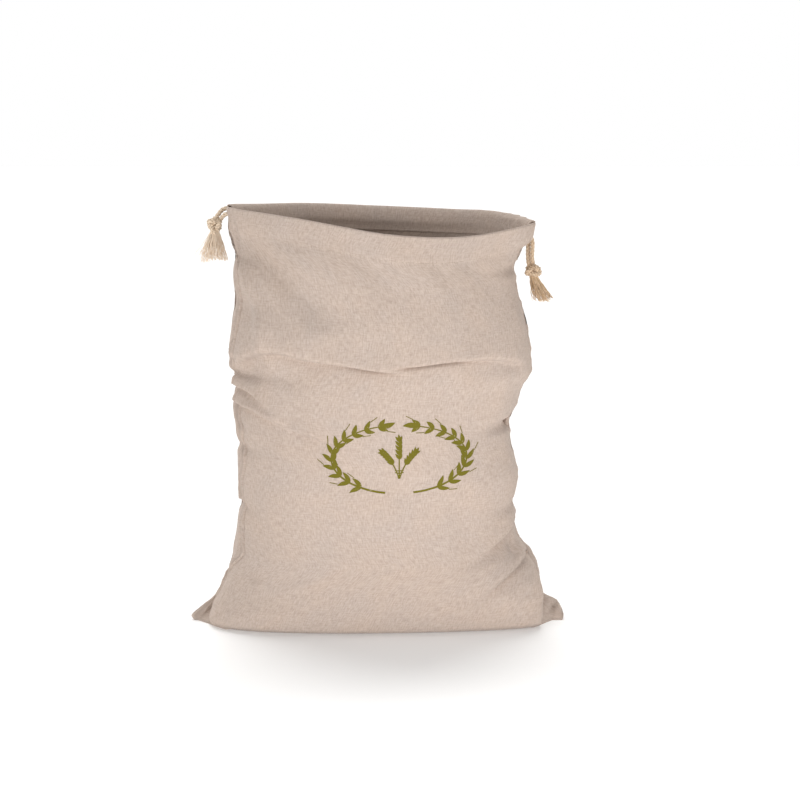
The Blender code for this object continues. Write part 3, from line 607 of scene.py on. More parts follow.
class Panel:
    """One face of the bag, worked out on a grid of rows (floor to rim) and columns."""

    def __init__(self, side):
        self.side = side
        self.turn = 1 if side == "front" else -1
        rows = [np.arange(*span) for span in ROW_SPANS]
        self.low = np.concatenate(rows + [[float(ROW_SPANS[-1][1])]])
        self.shares = np.linspace(0, 1, UPPER_ROWS + 1)[1:]
        self.casing = np.array(HEM_ROWS[-2::-1] + (0.0,))
        self.columns = spread_columns(COLUMNS[side], DENSE[side])
        self.place_rows()
        self.fold()

    def heights(self, rim):
        """Every row's height for columns whose rim is at these heights."""
        rim = np.atleast_1d(rim)
        low = np.repeat(self.low[:, None], len(rim), axis=1)
        top = self.low[-1]
        middle = top + self.shares[:, None] * (rim - CASING_DEPTH - top)
        high = rim - self.casing[:, None]
        return np.vstack([low, middle, high])

    def place_rows(self):
        """The angle and height of every point of the grid."""
        ends = {"left": RIM["front"]["z"][0], "right": RIM["front"]["z"][-1]}
        at = {name: self.heights(z)[:, 0] for name, z in ends.items()}
        first = through(LEFT_JOIN["z"], LEFT_JOIN[self.side], at["left"])[:, None]
        last = through(RIGHT_JOIN["z"], RIGHT_JOIN[self.side], at["right"])[:, None]
        last = PI - last if self.side == "front" else -PI - last
        self.angles = first + (last - first) * self.columns
        z = self.heights(np.interp(self.columns, (0, 1), FIRST_RIM))
        for _ in range(3):
            x = ring_skin(self.angles, z)[-1, :, 0]
            z = self.heights(rim_height(x, self.side))
        self.z = z
        self.below_rim = z[-1] - z
        self.first_free = {name: int(np.searchsorted(at[name], SLIT_FOOT_Z[name])) for name in at}

    def main_folds(self, x, z):
        """(height along the normal, drop) of the creases, swells and notches."""
        rise, drop = np.zeros_like(x), np.zeros_like(x)
        for fold in CREASES[self.side]:
            lip, hang = crease(fold, x, z)
            rise, drop = rise + lip, drop + hang
        for mound in SWELLS[self.side]:
            rise = rise + swell(mound, x, z)
        rise = rise * np.minimum(1, NEXT_TO_EDGE + 2 * np.abs(np.sin(self.angles)))
        rise = rise + notches(NOTCHES["left"], z, x - column_of(SECTIONS, "left", z))
        rise = rise + notches(NOTCHES["right"], z, column_of(SECTIONS, "right", z) - x)
        return rise, drop

    def fine_folds(self, z, below):
        """Seams, hems, the casing's stitched line and loose cloth, as heights."""
        total = 0 * z
        for name, run in (("left", self.from_left), ("right", self.from_right)):
            start = self.first_free[name]
            joined = np.zeros_like(z)
            joined[:start] = smooth_step(
                (z[start, 0 if name == "left" else -1] - z[:start]) / SEAM_CLOSES_OVER)
            pull = slack(SEEDS[name], *SEAM_WAVES, SEAM_WAVES_AT + 0 * z, z)
            seam = sum(bump["height"] * bell(run - bump["at"], bump["half"])
                       for bump in (SEAM_ROLL, SEAM_VALLEY))
            seam = seam + SEAM_GROOVE[name] * bell(run - SEAM_STITCH, SEAM_GROOVE["half"])
            seam = seam + SEAM_PULL * pull * bell(run, SEAM_PULL_REACH, SEAM_PULL_POWER)
            free = 1 - joined
            free[:max(start - 3, 0)] = 0
            hem = SLIT_HEM["height"] * smooth_step((SLIT_HEM["width"] - run) / SLIT_HEM["edge"])
            hem = hem + SLIT_GROOVE["height"] * bell(run - SLIT_GROOVE["at"], SLIT_GROOVE["half"])
            total += joined * seam + free * hem
        seeds = SEEDS[self.side]
        gather = slack(seeds["gather"], *GATHER_WAVES, self.u, 0 * z)
        total += CASING_GROOVE["height"] * bell(below - CASING_DEPTH, CASING_GROOVE["half"])
        total += GATHER["height"] * gather * bell(below - GATHER["below"], GATHER["half"], 3)
        calm = smooth_step((below - 2) / CALM_BELOW_RIM)
        height, half_height, out, half_width = LOW_SLACK_AT
        low = bell(z - height, half_height) * bell(out - np.abs(self.u), half_width)
        for step, ((height, *waves), share) in enumerate((
                (BROAD_SLACK, calm),
                (FINE_SLACK, FINE_AT_RIM + (1 - FINE_AT_RIM) * calm),
                (LOW_SLACK, low))):
            total += share * height * slack(seeds["slack"] + step, *waves, self.u, z)
        return total

    def fold(self):
        """Lays all folds on the bare ring, outside and, evened out, inside."""
        z, below = self.z, self.below_rim
        base = ring_skin(self.angles, z)
        self.u = arc_from_middle(base)
        self.from_left = self.u - self.u[:, :1]
        self.from_right = self.u[:, -1:] - self.u
        x = base[..., 0]
        rise, drop = self.main_folds(x, z)
        fine = self.fine_folds(z, below)
        calm = 1 - np.exp(-z / CALM_NEAR_FLOOR)
        away = outward(base, self.turn)
        skin = base + away * ((rise + fine) * calm)[..., None]
        skin[..., 2] += drop * calm
        even = lowest_near(rise, INNER_CALM_ROWS) + INNER_FINE_SHARE * fine
        calmed = base + away * (even * calm)[..., None]
        pleat = 0 * x
        if self.side == "back":
            rows = zip(BACK_PLEATS["x"], BACK_PLEATS["height"], BACK_PLEATS["half"])
            for place, height, half in rows:
                pleat = pleat + height * bell(x - place, half)
            pleat = pleat * np.exp(-below / BACK_PLEATS["reach"])
        self.layers(skin, calmed, pleat)

    def layers(self, skin, calmed, pleat):
        """The outer face, the inner face and the casing's two faces, with rounded rim."""
        z, below = self.z, self.below_rim
        level = np.clip((z - 4) / 20, 0, 1)
        normal = outward(skin, self.turn)
        normal[..., 2] *= level
        inward = outward(calmed, self.turn)
        inward[..., 2] *= level
        round_in = np.sqrt(np.maximum(RIM_RADIUS**2 - np.maximum(RIM_RADIUS - below, 0) ** 2, 0))
        round_in = np.where(below < RIM_RADIUS, RIM_RADIUS - round_in, 0)
        self.outer = skin + normal * (pleat - round_in)[..., None]
        self.normal = normal
        in_casing = smooth_step((CASING_DEPTH + CASING_BLEND - below) / 10)[..., None]
        inner_base = calmed * (1 - in_casing) + skin * in_casing
        under = CLOTH + np.maximum(RIM_RADIUS - CLOTH - 0.5 * below, 0)
        self.inner = inner_base - inward * (under - pleat)[..., None]
        self.inner[..., 2] -= rolled_in(below)
        self.inner[..., 2] = np.where(
            z < FLOOR_WALL_TOP, CLOTH + z * (FLOOR_WALL_TOP - CLOTH) / FLOOR_WALL_TOP,
            self.inner[..., 2])
        spine = flat_middle(self.angles, z)
        near_edge = np.abs(np.sin(self.angles)) < 1.2 * EDGE_ANGLE
        held = self.turn * (self.inner[..., 1] - spine) > -SPINE_GAP
        self.inner[..., 1] = np.where(near_edge & held, spine - self.turn * SPINE_GAP,
                                      self.inner[..., 1])
        self.turn_in(skin, normal, pleat)

    def turn_in(self, skin, normal, pleat):
        """The casing's face and back, down the inside from the rim."""
        rows = len(self.casing)
        near, away, squeeze, b = (
            np.concatenate([grid[-rows:][::-1][1:], last[None]])
            for grid, last in ((skin, skin[-rows - 1]), (normal, normal[-rows - 1]),
                               (pleat, pleat[-rows - 1]),
                               (self.below_rim, np.full(self.z.shape[1], CASING_DEPTH))))
        back = CLOTH + casing_gap(b) * smooth_step(b / 1.6 + 0.15) + 0.7 * squeeze
        face = back + CLOTH
        face = np.where(b < RIM_RADIUS, np.minimum(face, 2 * RIM_RADIUS - 0.1 + b), face)
        self.hem_face = near - away * face[..., None]
        self.hem_back = near - away * back[..., None]
        self.hem_back[..., 2] -= rolled_in(b)
        self.hem_face[-1, :, 2] -= HEM_LIP_DROP

    def sheet_rows(self):
        """All rows in turn: up the outside, over the rim, down the casing, up its back, down."""
        return np.concatenate([self.outer, self.hem_face, self.hem_back[::-1], self.inner[::-1]])

    def sheet_flat(self):
        """Where each of those rows' points lay in the flat cloth (mm)."""
        rise = np.cumsum(np.abs(np.diff(self.z[:, self.z.shape[1] // 2], prepend=0)))
        tail = rise[-1] + np.array(HEM_ROWS)
        v = np.concatenate([rise, tail, tail[::-1] + 2, rise[::-1]])
        u = np.concatenate([self.u, np.repeat(self.u[-1:], 2 * len(tail), axis=0), self.u[::-1]])
        return u, np.repeat(v[:, None], u.shape[1], axis=1)

    def spot(self, x, z):
        """(point, normal) on the outside nearest to x, z, by sliding over the grid."""
        rows, columns = self.z.shape
        row = np.interp(z, self.outer[:, columns // 2, 2], np.arange(rows))
        column = columns / 2
        for _ in range(12):
            point = self.read(self.outer, row, column)
            along = (self.read(self.outer, row, column + 0.5)
                     - self.read(self.outer, row, column - 0.5))
            up = self.read(self.outer, row + 0.5, column) - self.read(self.outer, row - 0.5, column)
            column = float(np.clip(column + (x - point[0]) / along[0], 1, columns - 2))
            row = float(np.clip(row + (z - point[2]) / max(up[2], 0.3), 1, rows - 2))
        return self.read(self.outer, row, column), self.read(self.normal, row, column)

    def raised(self, row, column, sink):
        """A point of the outside, a little proud of the cloth."""
        return self.read(self.outer, row, column) + self.read(self.normal, row, column) * sink

    @staticmethod
    def read(grid, row, column):
        """A grid's value between its rows and columns."""
        i = int(min(max(row, 0), grid.shape[0] - 1.001))
        j = int(min(max(column, 0), grid.shape[1] - 1.001))
        s, t = row - i, column - j
        low = grid[i, j] * (1 - t) + grid[i, j + 1] * t
        high = grid[i + 1, j] * (1 - t) + grid[i + 1, j + 1] * t
        return low * (1 - s) + high * s


# ---- meshes -----------------------------------------------------------------------------------
def new_object(name, data, material=None):
    made = bpy.data.objects.new(name, data)
    bpy.context.scene.collection.objects.link(made)
    if material is not None:
        data.materials.clear()
        data.materials.append(material)
    return made


def mesh_object(name, points, faces, material, flat=None, smooth=True):
    """A mesh from points in mm, with its place in the flat cloth as its UV map (metres)."""
    mesh = bpy.data.meshes.new(name)
    mesh.from_pydata((np.asarray(points, float) * MM).tolist(), [], faces)
    if flat is not None:
        layer = mesh.uv_layers.new(name="flat_cloth")
        corners = np.zeros(len(mesh.loops), np.int64)
        mesh.loops.foreach_get("vertex_index", corners)
        spread = np.asarray(flat, float)[corners] * MM
        layer.data.foreach_set("uv", spread.astype(np.float32).ravel())
    if smooth:
        mesh.polygons.foreach_set("use_smooth", np.ones(len(mesh.polygons), bool))
    return new_object(name, mesh, material)


@contextlib.contextmanager
def reworked(mesh):
    """The mesh's faces and points to work on, written back afterwards."""
    body = bmesh.new()
    body.from_mesh(mesh)
    yield body
    body.to_mesh(mesh)
    body.free()


BACK_LIES_BESIDE = 330.0


def bag_cloth(front, back, material):
    """The whole bag as one closed body of cloth, open at the slits and round the mouth."""
    points, flats, faces, index = [], [], [], {}
    for panel in (front, back):
        rows = panel.sheet_rows()
        u, v = panel.sheet_flat()
        numbers = np.arange(rows.shape[0] * rows.shape[1]).reshape(rows.shape[:2])
        index[panel.side] = numbers + len(points)
        points.extend(rows.reshape(-1, 3).tolist())
        beside = 0 if panel is front else BACK_LIES_BESIDE
        flats.extend(np.stack([u + beside, v], axis=-1).reshape(-1, 2).tolist())
    outside, total, hem = front.z.shape[0], len(index["front"]), len(HEM_ROWS)
    edges = (("left", 0), ("right", -1))
    for name, edge in edges:
        foot = front.first_free[name]
        for row in list(range(foot + 1)) + list(range(total - foot - 1, total)):
            index["back"][row, edge] = index["front"][row, edge]
    for panel in (front, back):
        grid, turn = index[panel.side], panel.turn
        for low, high in zip(grid, grid[1:]):
            quads = zip(low, low[1:], high[1:], high)
            faces.extend(quad if turn > 0 else quad[::-1] for quad in map(tuple, quads))
        for name, edge in edges:
            line, foot = grid[:, edge], panel.first_free[name]
            outer = list(line[foot:outside + hem])
            inner = list(line[outside + hem:total - foot][::-1])
            flip = (turn > 0) == (name == "right")
            for a, b, c, d in zip(outer, outer[1:], inner[1:], inner):
                faces.append((d, c, b, a) if flip else (a, b, c, d))
    for row, flip in ((0, True), (total - 1, False)):
        ring = list(index["front"][row]) + list(index["back"][row][::-1][1:-1])
        faces.append(tuple(ring[::-1] if flip else ring))
    made = mesh_object("bag_cloth_linen", points, [tuple(map(int, face)) for face in faces],
                       material, flats)
    with reworked(made.data) as body:
        loose = [vert for vert in body.verts if not vert.link_faces]
        bmesh.ops.delete(body, geom=loose, context="VERTS")
        bmesh.ops.triangulate(body, faces=[face for face in body.faces if len(face.verts) > 4])
        bmesh.ops.recalc_face_normals(body, faces=body.faces)
    return made


# ---- node trees -------------------------------------------------------------------------------
class Nodes:
    """A node tree, built node by node."""

    def __init__(self, tree):
        self.tree = tree

    def put(self, value, socket):
        """Sets an input to a value, or links another node's output to it."""
        if isinstance(value, bpy.types.NodeSocket):
            self.tree.links.new(value, socket)
        else:
            socket.default_value = value

    def add(self, kind, settings=None, **given):
        """A new node. Its inputs are given by name, or by number as _0, _1."""
        made = self.tree.nodes.new(kind)
        for name, value in (settings or {}).items():
            setattr(made, name, value)
        for name, value in given.items():
            self.put(value, made.inputs[int(name[1:]) if name[0] == "_" else name])
        return made

    def math(self, kind, a, b=None, c=None):
        given = {f"_{i}": value for i, value in enumerate((a, b, c)) if value is not None}
        return self.add("ShaderNodeMath", {"operation": kind}, **given).outputs[0]


class Growth(Nodes):
    """A Geometry Nodes tree with named inputs, for what repeats or follows a path."""

    def __init__(self, name, inputs):
        super().__init__(bpy.data.node_groups.new(name, "GeometryNodeTree"))
        face = self.tree.interface
        face.new_socket(name="Geometry", in_out="INPUT", socket_type="NodeSocketGeometry")
        for label, kind, value in inputs:
            made = face.new_socket(name=label, in_out="INPUT", socket_type="NodeSocket" + kind)
            if value is not None:
                made.default_value = value
        face.new_socket(name="Geometry", in_out="OUTPUT", socket_type="NodeSocketGeometry")
        self.given = self.tree.nodes.new("NodeGroupInput").outputs
        self.end = self.tree.nodes.new("NodeGroupOutput")

    def vector(self, kind, a, b):
        given = {"_0": a, "Scale" if kind == "SCALE" else "_1": b}
        return self.add("ShaderNodeVectorMath", {"operation": kind}, **given).outputs[0]

    def spaced(self, spacing):
        """The paths given, with a point at every spacing."""
        return self.add("GeometryNodeResampleCurve", {"mode": "LENGTH"},
                        Curve=self.given["Geometry"], Length=spacing).outputs[0]

    def store(self, geometry, name, value, domain="POINT"):
        """The geometry with a value kept on it by name."""
        return self.add("GeometryNodeStoreNamedAttribute",
                        {"data_type": "FLOAT", "domain": domain},
                        Geometry=geometry, Name=name, Value=value).outputs[0]

    def stored(self, name):
        return self.add("GeometryNodeInputNamedAttribute", {"data_type": "FLOAT"},
                        Name=name).outputs[0]

    def tube(self, curve, profile, scale=1.0):
        return self.add("GeometryNodeCurveToMesh", Curve=curve, Scale=scale,
                        **{"Profile Curve": profile, "Fill Caps": True}).outputs[0]

    def finish(self, geometry):
        real = self.add("GeometryNodeRealizeInstances", Geometry=geometry)
        painted = self.add("GeometryNodeSetMaterial", Geometry=real.outputs[0],
                           Material=self.given["Material"])
        self.put(painted.outputs[0], self.end.inputs["Geometry"])
        return self.tree


def grown(name, source, tree, values, material):
    """The mesh that a tree grows on a source object, as a plain object of its own."""
    holder = source.modifiers.new("grow", "NODES")
    holder.node_group = tree
    sockets = {item.name: item.identifier for item in tree.interface.items_tree
               if item.in_out == "INPUT"}
    for label, value in values.items():
        holder[sockets[label]] = value
    holder[sockets["Material"]] = material
    graph = bpy.context.evaluated_depsgraph_get()
    mesh = bpy.data.meshes.new_from_object(source.evaluated_get(graph), depsgraph=graph)
    mesh.name = name
    old = source.data
    bpy.data.objects.remove(source, do_unlink=True)
    bpy.data.curves.remove(old)
    mesh.polygons.foreach_set("use_smooth", np.ones(len(mesh.polygons), bool))
    return new_object(name, mesh, material)


def path_object(name, paths, closed=False):
    """A curve object of straight-sided splines through points in mm."""
    curve = bpy.data.curves.new(name, "CURVE")
    curve.dimensions = "3D"
    for path in paths:
        spline = curve.splines.new("POLY")
        spline.points.add(len(path) - 1)
        for point, place in zip(spline.points, path):
            point.co = (*(np.asarray(place, float) * MM), 1)
        spline.use_cyclic_u = closed
    return new_object(name, curve)


def twisted_cord_tree():
    """Plies wound round a path, each a tube."""
    tree = Growth("twisted_cord", (
        ("Plies", "Int", 3), ("Ply Radius", "Float", 0.0008), ("Ply Offset", "Float", 0.0009),
        ("Twist Length", "Float", 0.009), ("Ring Spacing", "Float", 0.0008), ("Sides", "Int", 7),
        ("Material", "Material", None)))
    given = tree.given
    plies = tree.add("GeometryNodeDuplicateElements", {"domain": "SPLINE"},
                     Geometry=tree.spaced(given["Ring Spacing"]), Amount=given["Plies"])
    along = tree.add("GeometryNodeSplineParameter").outputs["Length"]
    turns = tree.math("DIVIDE", along, given["Twist Length"])
    share = tree.math("DIVIDE", plies.outputs["Duplicate Index"], given["Plies"])
    lines = tree.store(plies.outputs["Geometry"], "ply", share, domain="CURVE")
    angle = tree.math("MULTIPLY", tree.math("ADD", turns, tree.stored("ply")), 2 * PI)
    normal = tree.add("GeometryNodeInputNormal").outputs[0]
    tangent = tree.add("GeometryNodeInputTangent").outputs[0]
    side = tree.vector("CROSS_PRODUCT", tangent, normal)
    wound = tree.vector("ADD", tree.vector("SCALE", normal, tree.math("COSINE", angle)),
                        tree.vector("SCALE", side, tree.math("SINE", angle)))
    moved = tree.add("GeometryNodeSetPosition", Geometry=lines,
                     Offset=tree.vector("SCALE", wound, given["Ply Offset"]))
    lines = tree.store(moved.outputs[0], "along", along)
    ring = tree.add("GeometryNodeCurvePrimitiveCircle", Resolution=given["Sides"],
                    Radius=given["Ply Radius"])
    place = tree.add("GeometryNodeSplineParameter").outputs["Factor"]
    return tree.finish(tree.tube(lines, tree.store(ring.outputs[0], "around", place)))


def stitch_tree():
    """Short rounded threads laid along a path."""
    tree = Growth("stitches", (
        ("Pitch", "Float", 0.003), ("Thread Radius", "Float", 0.0003),
        ("Length Share", "Float", 0.72), ("Material", "Material", None)))
    given = tree.given
    tangent = tree.add("GeometryNodeInputTangent").outputs[0]
    turned = tree.add("FunctionNodeAlignRotationToVector", {"axis": "X"}, Vector=tangent)
    bead = tree.add("GeometryNodeMeshUVSphere", Segments=8, Rings=6, Radius=1.0)
    half = tree.math("MULTIPLY", tree.math("MULTIPLY", given["Pitch"], given["Length Share"]), 0.5)
    size = tree.add("ShaderNodeCombineXYZ", X=half, Y=given["Thread Radius"],
                    Z=given["Thread Radius"])
    laid = tree.add("GeometryNodeInstanceOnPoints", Points=tree.spaced(given["Pitch"]),
                    Instance=bead.outputs[0], Rotation=turned.outputs[0], Scale=size.outputs[0])
    return tree.finish(laid.outputs[0])


def strand_tree():
    """Fine frayed strands: each path waves more towards its loose end and thins out."""
    tree = Growth("frayed_strands", (
        ("Strand Radius", "Float", 0.0003), ("Wave", "Float", 0.0012),
        ("Wave Length", "Float", 0.006), ("Spacing", "Float", 0.0012), ("Sides", "Int", 4),
        ("Seed", "Int", 4), ("Material", "Material", None)))
    given = tree.given
    down = tree.add("GeometryNodeSplineParameter").outputs
    own = tree.add("GeometryNodeCurveOfPoint").outputs["Curve Index"]
    pick = tree.add("FunctionNodeRandomValue", {"data_type": "FLOAT"}, ID=own, Seed=given["Seed"])
    phase = tree.math("MULTIPLY", pick.outputs[1], 6 * PI)
    turns = tree.math("MULTIPLY_ADD", tree.math("DIVIDE", down["Length"], given["Wave Length"]),
                      2 * PI, phase)
    reach = tree.math("MULTIPLY", tree.math("POWER", down["Factor"], 0.8), given["Wave"])
    shift = tree.add("ShaderNodeCombineXYZ",
                     X=tree.math("MULTIPLY", tree.math("COSINE", turns), reach),
                     Y=tree.math("MULTIPLY", tree.math("SINE", turns), reach))
    moved = tree.add("GeometryNodeSetPosition", Geometry=tree.spaced(given["Spacing"]),
                     Offset=shift.outputs[0])
    lines = tree.store(moved.outputs[0], "own_shade", pick.outputs[1], domain="CURVE")
    ring = tree.add("GeometryNodeCurvePrimitiveCircle", Resolution=given["Sides"],
                    Radius=given["Strand Radius"])
    taper = tree.math("MULTIPLY_ADD", down["Factor"], -0.45, 1.0)
    return tree.finish(tree.tube(lines, ring.outputs[0], taper))


# ---- finishes ---------------------------------------------------------------------------------
class Finish(Nodes):
    """A material, built node by node."""

    def __init__(self, name):
        self.material = bpy.data.materials.new(name)
        self.material.use_nodes = True
        super().__init__(self.material.node_tree)
        self.shader = self.tree.nodes["Principled BSDF"]

    def attribute(self, name):
        return self.add("ShaderNodeAttribute", {"attribute_name": name}).outputs["Fac"]

    def blend(self, a, a_share, b, b_share):
        """Two values added in the shares given."""
        return self.math("ADD", self.math("MULTIPLY", a, a_share),
                         self.math("MULTIPLY", b, b_share))

    def noise(self, places, sizes, detail, rough=0.5):
        """Noise at places, each divided by its own size."""
        parts = {"_%d" % i: self.math("DIVIDE", place, size) if size else place
                 for i, (place, size) in enumerate(zip(places, sizes))}
        place = self.add("ShaderNodeCombineXYZ", **parts)
        return self.add("ShaderNodeTexNoise", Scale=1.0, Detail=detail, Roughness=rough,
                        Vector=place.outputs[0]).outputs["Fac"]

    def place_noise(self, size, detail=3.0):
        """Noise on the piece's own place, at a size in metres."""
        place = self.add("ShaderNodeTexCoord").outputs["Object"]
        parts = self.add("ShaderNodeSeparateXYZ", _0=place)
        return self.noise(parts.outputs, (size,) * 3, detail)

    def ramp(self, factor, *stops):
        made = self.add("ShaderNodeValToRGB", _0=factor)
        line = made.color_ramp.elements
        while len(line) < len(stops):
            line.new(0.5)
        for element, (place, colour) in zip(line, stops):
            element.position = place
            element.color = (*colour, 1)
        return made.outputs[0]

    def mix(self, kind, factor, a, b):
        a, b = ((*value, 1) if isinstance(value, tuple) else value for value in (a, b))
        return self.add("ShaderNodeMix", {"data_type": "RGBA", "blend_type": kind},
                        _0=factor, _6=a, _7=b).outputs[2]

    def clamped(self, value, gain, shift, most):
        """The value times gain plus shift, held between 0 and most."""
        scaled = self.math("MULTIPLY_ADD", value, gain, shift)
        return self.math("MINIMUM", self.math("MAXIMUM", scaled, 0.0), most)

    def bump(self, height, distance, strength, **under):
        return self.add("ShaderNodeBump", Strength=strength, Distance=distance, Height=height,
                        **under).outputs[0]

    def done(self, colour, normal, roughness, sheen=0.0, specular=0.3):
        for name, value in (("Base Color", colour), ("Normal", normal), ("Roughness", roughness),
                            ("Sheen Weight", sheen), ("Sheen Roughness", 0.45),
                            ("Specular IOR Level", specular)):
            self.put(value, self.shader.inputs[name])
        return self.material


FIBRE_LAY = 0.0019
THREAD_PITCH = 0.00072
WEAVE_HEIGHT = 0.00016


class ClothFinish(Finish):
    """A finish that follows the flat cloth, in metres across and along it."""

    def __init__(self, name):
        super().__init__(name)
        layer = self.add("ShaderNodeUVMap", {"uv_map": "flat_cloth"})
        parts = self.add("ShaderNodeSeparateXYZ", _0=layer.outputs[0])
        self.across, self.along = parts.outputs[0], parts.outputs[1]

    def cloth_noise(self, wide, long, layer, detail=2.0, rough=0.55):
        return self.noise((self.across, self.along, layer), (wide, long, None), detail, rough)

    def yarns(self):
        """(warp, weft) unevenness of the yarns, each 0 to 1: short thin streaks both ways."""
        return self.cloth_noise(0.0010, 0.0045, 3.0), self.cloth_noise(0.0050, 0.0010, 9.0)

    def weave(self, strength):
        """The bumps of a plain weave."""
        over, under = (self.math("SINE", self.math("DIVIDE", way, THREAD_PITCH / (2 * PI)))
                       for way in (self.across, self.along))
        height = self.math("MULTIPLY_ADD", self.math("MULTIPLY", over, under), 0.5, 0.5)
        return self.bump(height, WEAVE_HEIGHT, strength)


def linen_finish(name, dark, middle, light):
    """Undyed linen and cotton cloth: heathered yarns, slubs and a plain weave."""
    finish = ClothFinish(name)
    warp, weft = finish.yarns()
    both = finish.blend(warp, 0.6, weft, 0.4)
    heather = finish.ramp(both, (0.34, dark), (0.5, middle), (0.66, light))
    cloud = finish.cloth_noise(0.034, 0.034, 5.0, detail=4.0, rough=0.6)
    tone = finish.ramp(cloud, (0.34, (0.965, 0.975, 0.985)), (0.66, (1.0, 0.985, 0.965)))
    toned = finish.mix("MULTIPLY", 1.0, heather, tone)
    fleck = finish.cloth_noise(0.0012, 0.006, 17.0, detail=1.0, rough=0.5)
    spotted = finish.math("MULTIPLY", finish.clamped(fleck, 9.0, -6.1, 1.0), 0.45)
    colour = finish.mix("MIX", spotted, toned, tuple(c * 0.74 for c in middle))
    normal = finish.bump(both, 0.0005, 0.55, Normal=finish.weave(0.55))
    rough = finish.math("MULTIPLY_ADD", both, -0.14, 0.97)
    return finish.done(colour, normal, rough, sheen=0.10, specular=0.2)


def rope_finish(name, shade, light):
    """Twisted cotton: fine fibres wound along each ply."""
    finish = Finish(name)
    around = finish.math("MULTIPLY", finish.attribute("around"), 4 * PI)
    slant = finish.math("MULTIPLY_ADD", finish.attribute("along"), 2 * PI / FIBRE_LAY, around)
    fibre = finish.math("MULTIPLY_ADD", finish.math("SINE", slant), 0.5, 0.5)
    both = finish.blend(fibre, 0.35, finish.place_noise(0.0014), 0.75)
    # The shade colour is partly the fibres' own darker tone and partly painted shade between the
    # plies.
    colour = finish.ramp(both, (0.25, shade), (0.75, light))
    return finish.done(colour, finish.bump(both, 0.0002, 0.6), 0.93, sheen=0.15, specular=0.2)


def plain_thread_finish(name, shade, light):
    """Smooth sewing thread."""
    finish = Finish(name)
    fleck = finish.place_noise(0.0016)
    colour = finish.ramp(fleck, (0.3, shade), (0.7, light))
    return finish.done(colour, finish.bump(fleck, 0.0001, 0.4), 0.9, specular=0.2)


def frayed_finish(name, deep, shade, light):
    """Loose cotton strands, each with a shade of its own."""
    finish = Finish(name)
    fleck = finish.place_noise(0.0024)
    both = finish.blend(finish.attribute("own_shade"), 0.62, fleck, 0.45)
    colour = finish.ramp(both, (0.18, deep), (0.42, shade), (0.8, light))
    return finish.done(colour, finish.bump(fleck, 0.0001, 0.4), 0.95, sheen=0.1, specular=0.15)


def ink_finish(name, ink, cloth):
    """Printed ink that sinks into the weave and leaves a few threads bare."""
    finish = ClothFinish(name)
    warp, weft = finish.yarns()
    bare = finish.clamped(finish.blend(warp, 0.5, weft, 0.5), 6.0, -3.55, 0.55)
    colour = finish.mix("MIX", bare, ink, cloth)
    return finish.done(colour, finish.weave(0.5), 0.82, specular=0.25)


# ---- cords, knots and tassels -----------------------------------------------------------------
CORD_PLIES = {"Plies": 3, "Ply Radius": 0.00088, "Ply Offset": 0.00102, "Twist Length": 0.0092,
              "Ring Spacing": 0.0008, "Sides": 7}
KNOT_PLIES = {**CORD_PLIES, "Ply Radius": 0.00098, "Ply Offset": 0.00108, "Twist Length": 0.0085}
ROUTE_SPACING = 1.2
# The knot's two turns: how far apart they are turned, how flat they lie and how far one stands
# in front of the other, as shares of the knot's own size, and the inner turn's size.
KNOT_TURN, KNOT_FLAT, KNOT_APART, INNER_TURN = 0.42, 0.85, 0.25, 0.86
KNOT_PRESSED = 0.3
CORE_HALF = (1.5, 0.5, 1.3)


def drawcord(side, tree, material):
    """One drawcord as three twisted plies on its whole route."""
    route = smooth_path(cord_route(side), ROUTE_SPACING)
    line = path_object("cord_line_" + side, [route])
    return grown("drawcord_twisted_" + side, line, tree, CORD_PLIES, material), route


def round_once(count):
    return np.linspace(0, 2 * PI, count + 1)[:-1]


def knot_turns(knot, strand):
    """One of the two cords' turns in the knot: a trefoil pressed into the knot's size (mm)."""
    room = (np.array(knot["half"]) + KNOT_PRESSED
            - (KNOT_PLIES["Ply Radius"] + KNOT_PLIES["Ply Offset"]) / MM)
    t = round_once(96)
    x = (np.sin(t) + 2 * np.sin(2 * t)) / 2.75
    z = (np.cos(t) - 2 * np.cos(2 * t)) / 2.75
    y = -np.sin(3 * t)
    turn = knot["turn"] + strand * KNOT_TURN
    spun = np.stack([x * math.cos(turn) - z * math.sin(turn), y * KNOT_FLAT + strand * KNOT_APART,
                     x * math.sin(turn) + z * math.cos(turn)], axis=-1)
    return np.array(knot["centre"]) + spun * room * (1.0 if strand < 0 else INNER_TURN)


def knot_core(knot):
    """A short bent length of cord that fills the knot's middle (mm)."""
    t = round_once(24)
    ring = np.stack([np.cos(t), np.sin(2 * t), np.sin(t)], axis=-1)
    return np.array(knot["centre"]) + ring * CORE_HALF


def knot_head(side, tree, material):
    """The overhand knot of the two cord ends, as the twisted cord's own turns."""
    knot = KNOTS[side]
    paths = [knot_turns(knot, -1), knot_turns(knot, 1), knot_core(knot)]
    lines = path_object("knot_line_" + side, paths, closed=True)
    return grown("knot_" + side, lines, tree, KNOT_PLIES, material)


STRANDS = 140
WISPS = 11
GOLDEN_ANGLE = PI * (3 - math.sqrt(5))
STRAND_SIZES = {"Strand Radius": 0.00028, "Wave": 0.0004, "Wave Length": 0.0085,
                "Spacing": 0.0011, "Sides": 4}
ROOT_REACH = 2.6
WISP_PULL = 0.62
STRAY_SPREAD, LOOSE_STRAY, LOOSE_EVERY = 0.55, 2.4, 17
# How uneven the strands' lengths are: wisp by wisp, and strand by strand.
WISP_SHORTER, STRAND_SHORTER = 0.17, 0.035


def golden(index):
    """The direction of one of many evenly spread strands."""
    turn = index * GOLDEN_ANGLE
    return np.stack([np.cos(turn), np.sin(turn), 0 * turn], axis=-1)


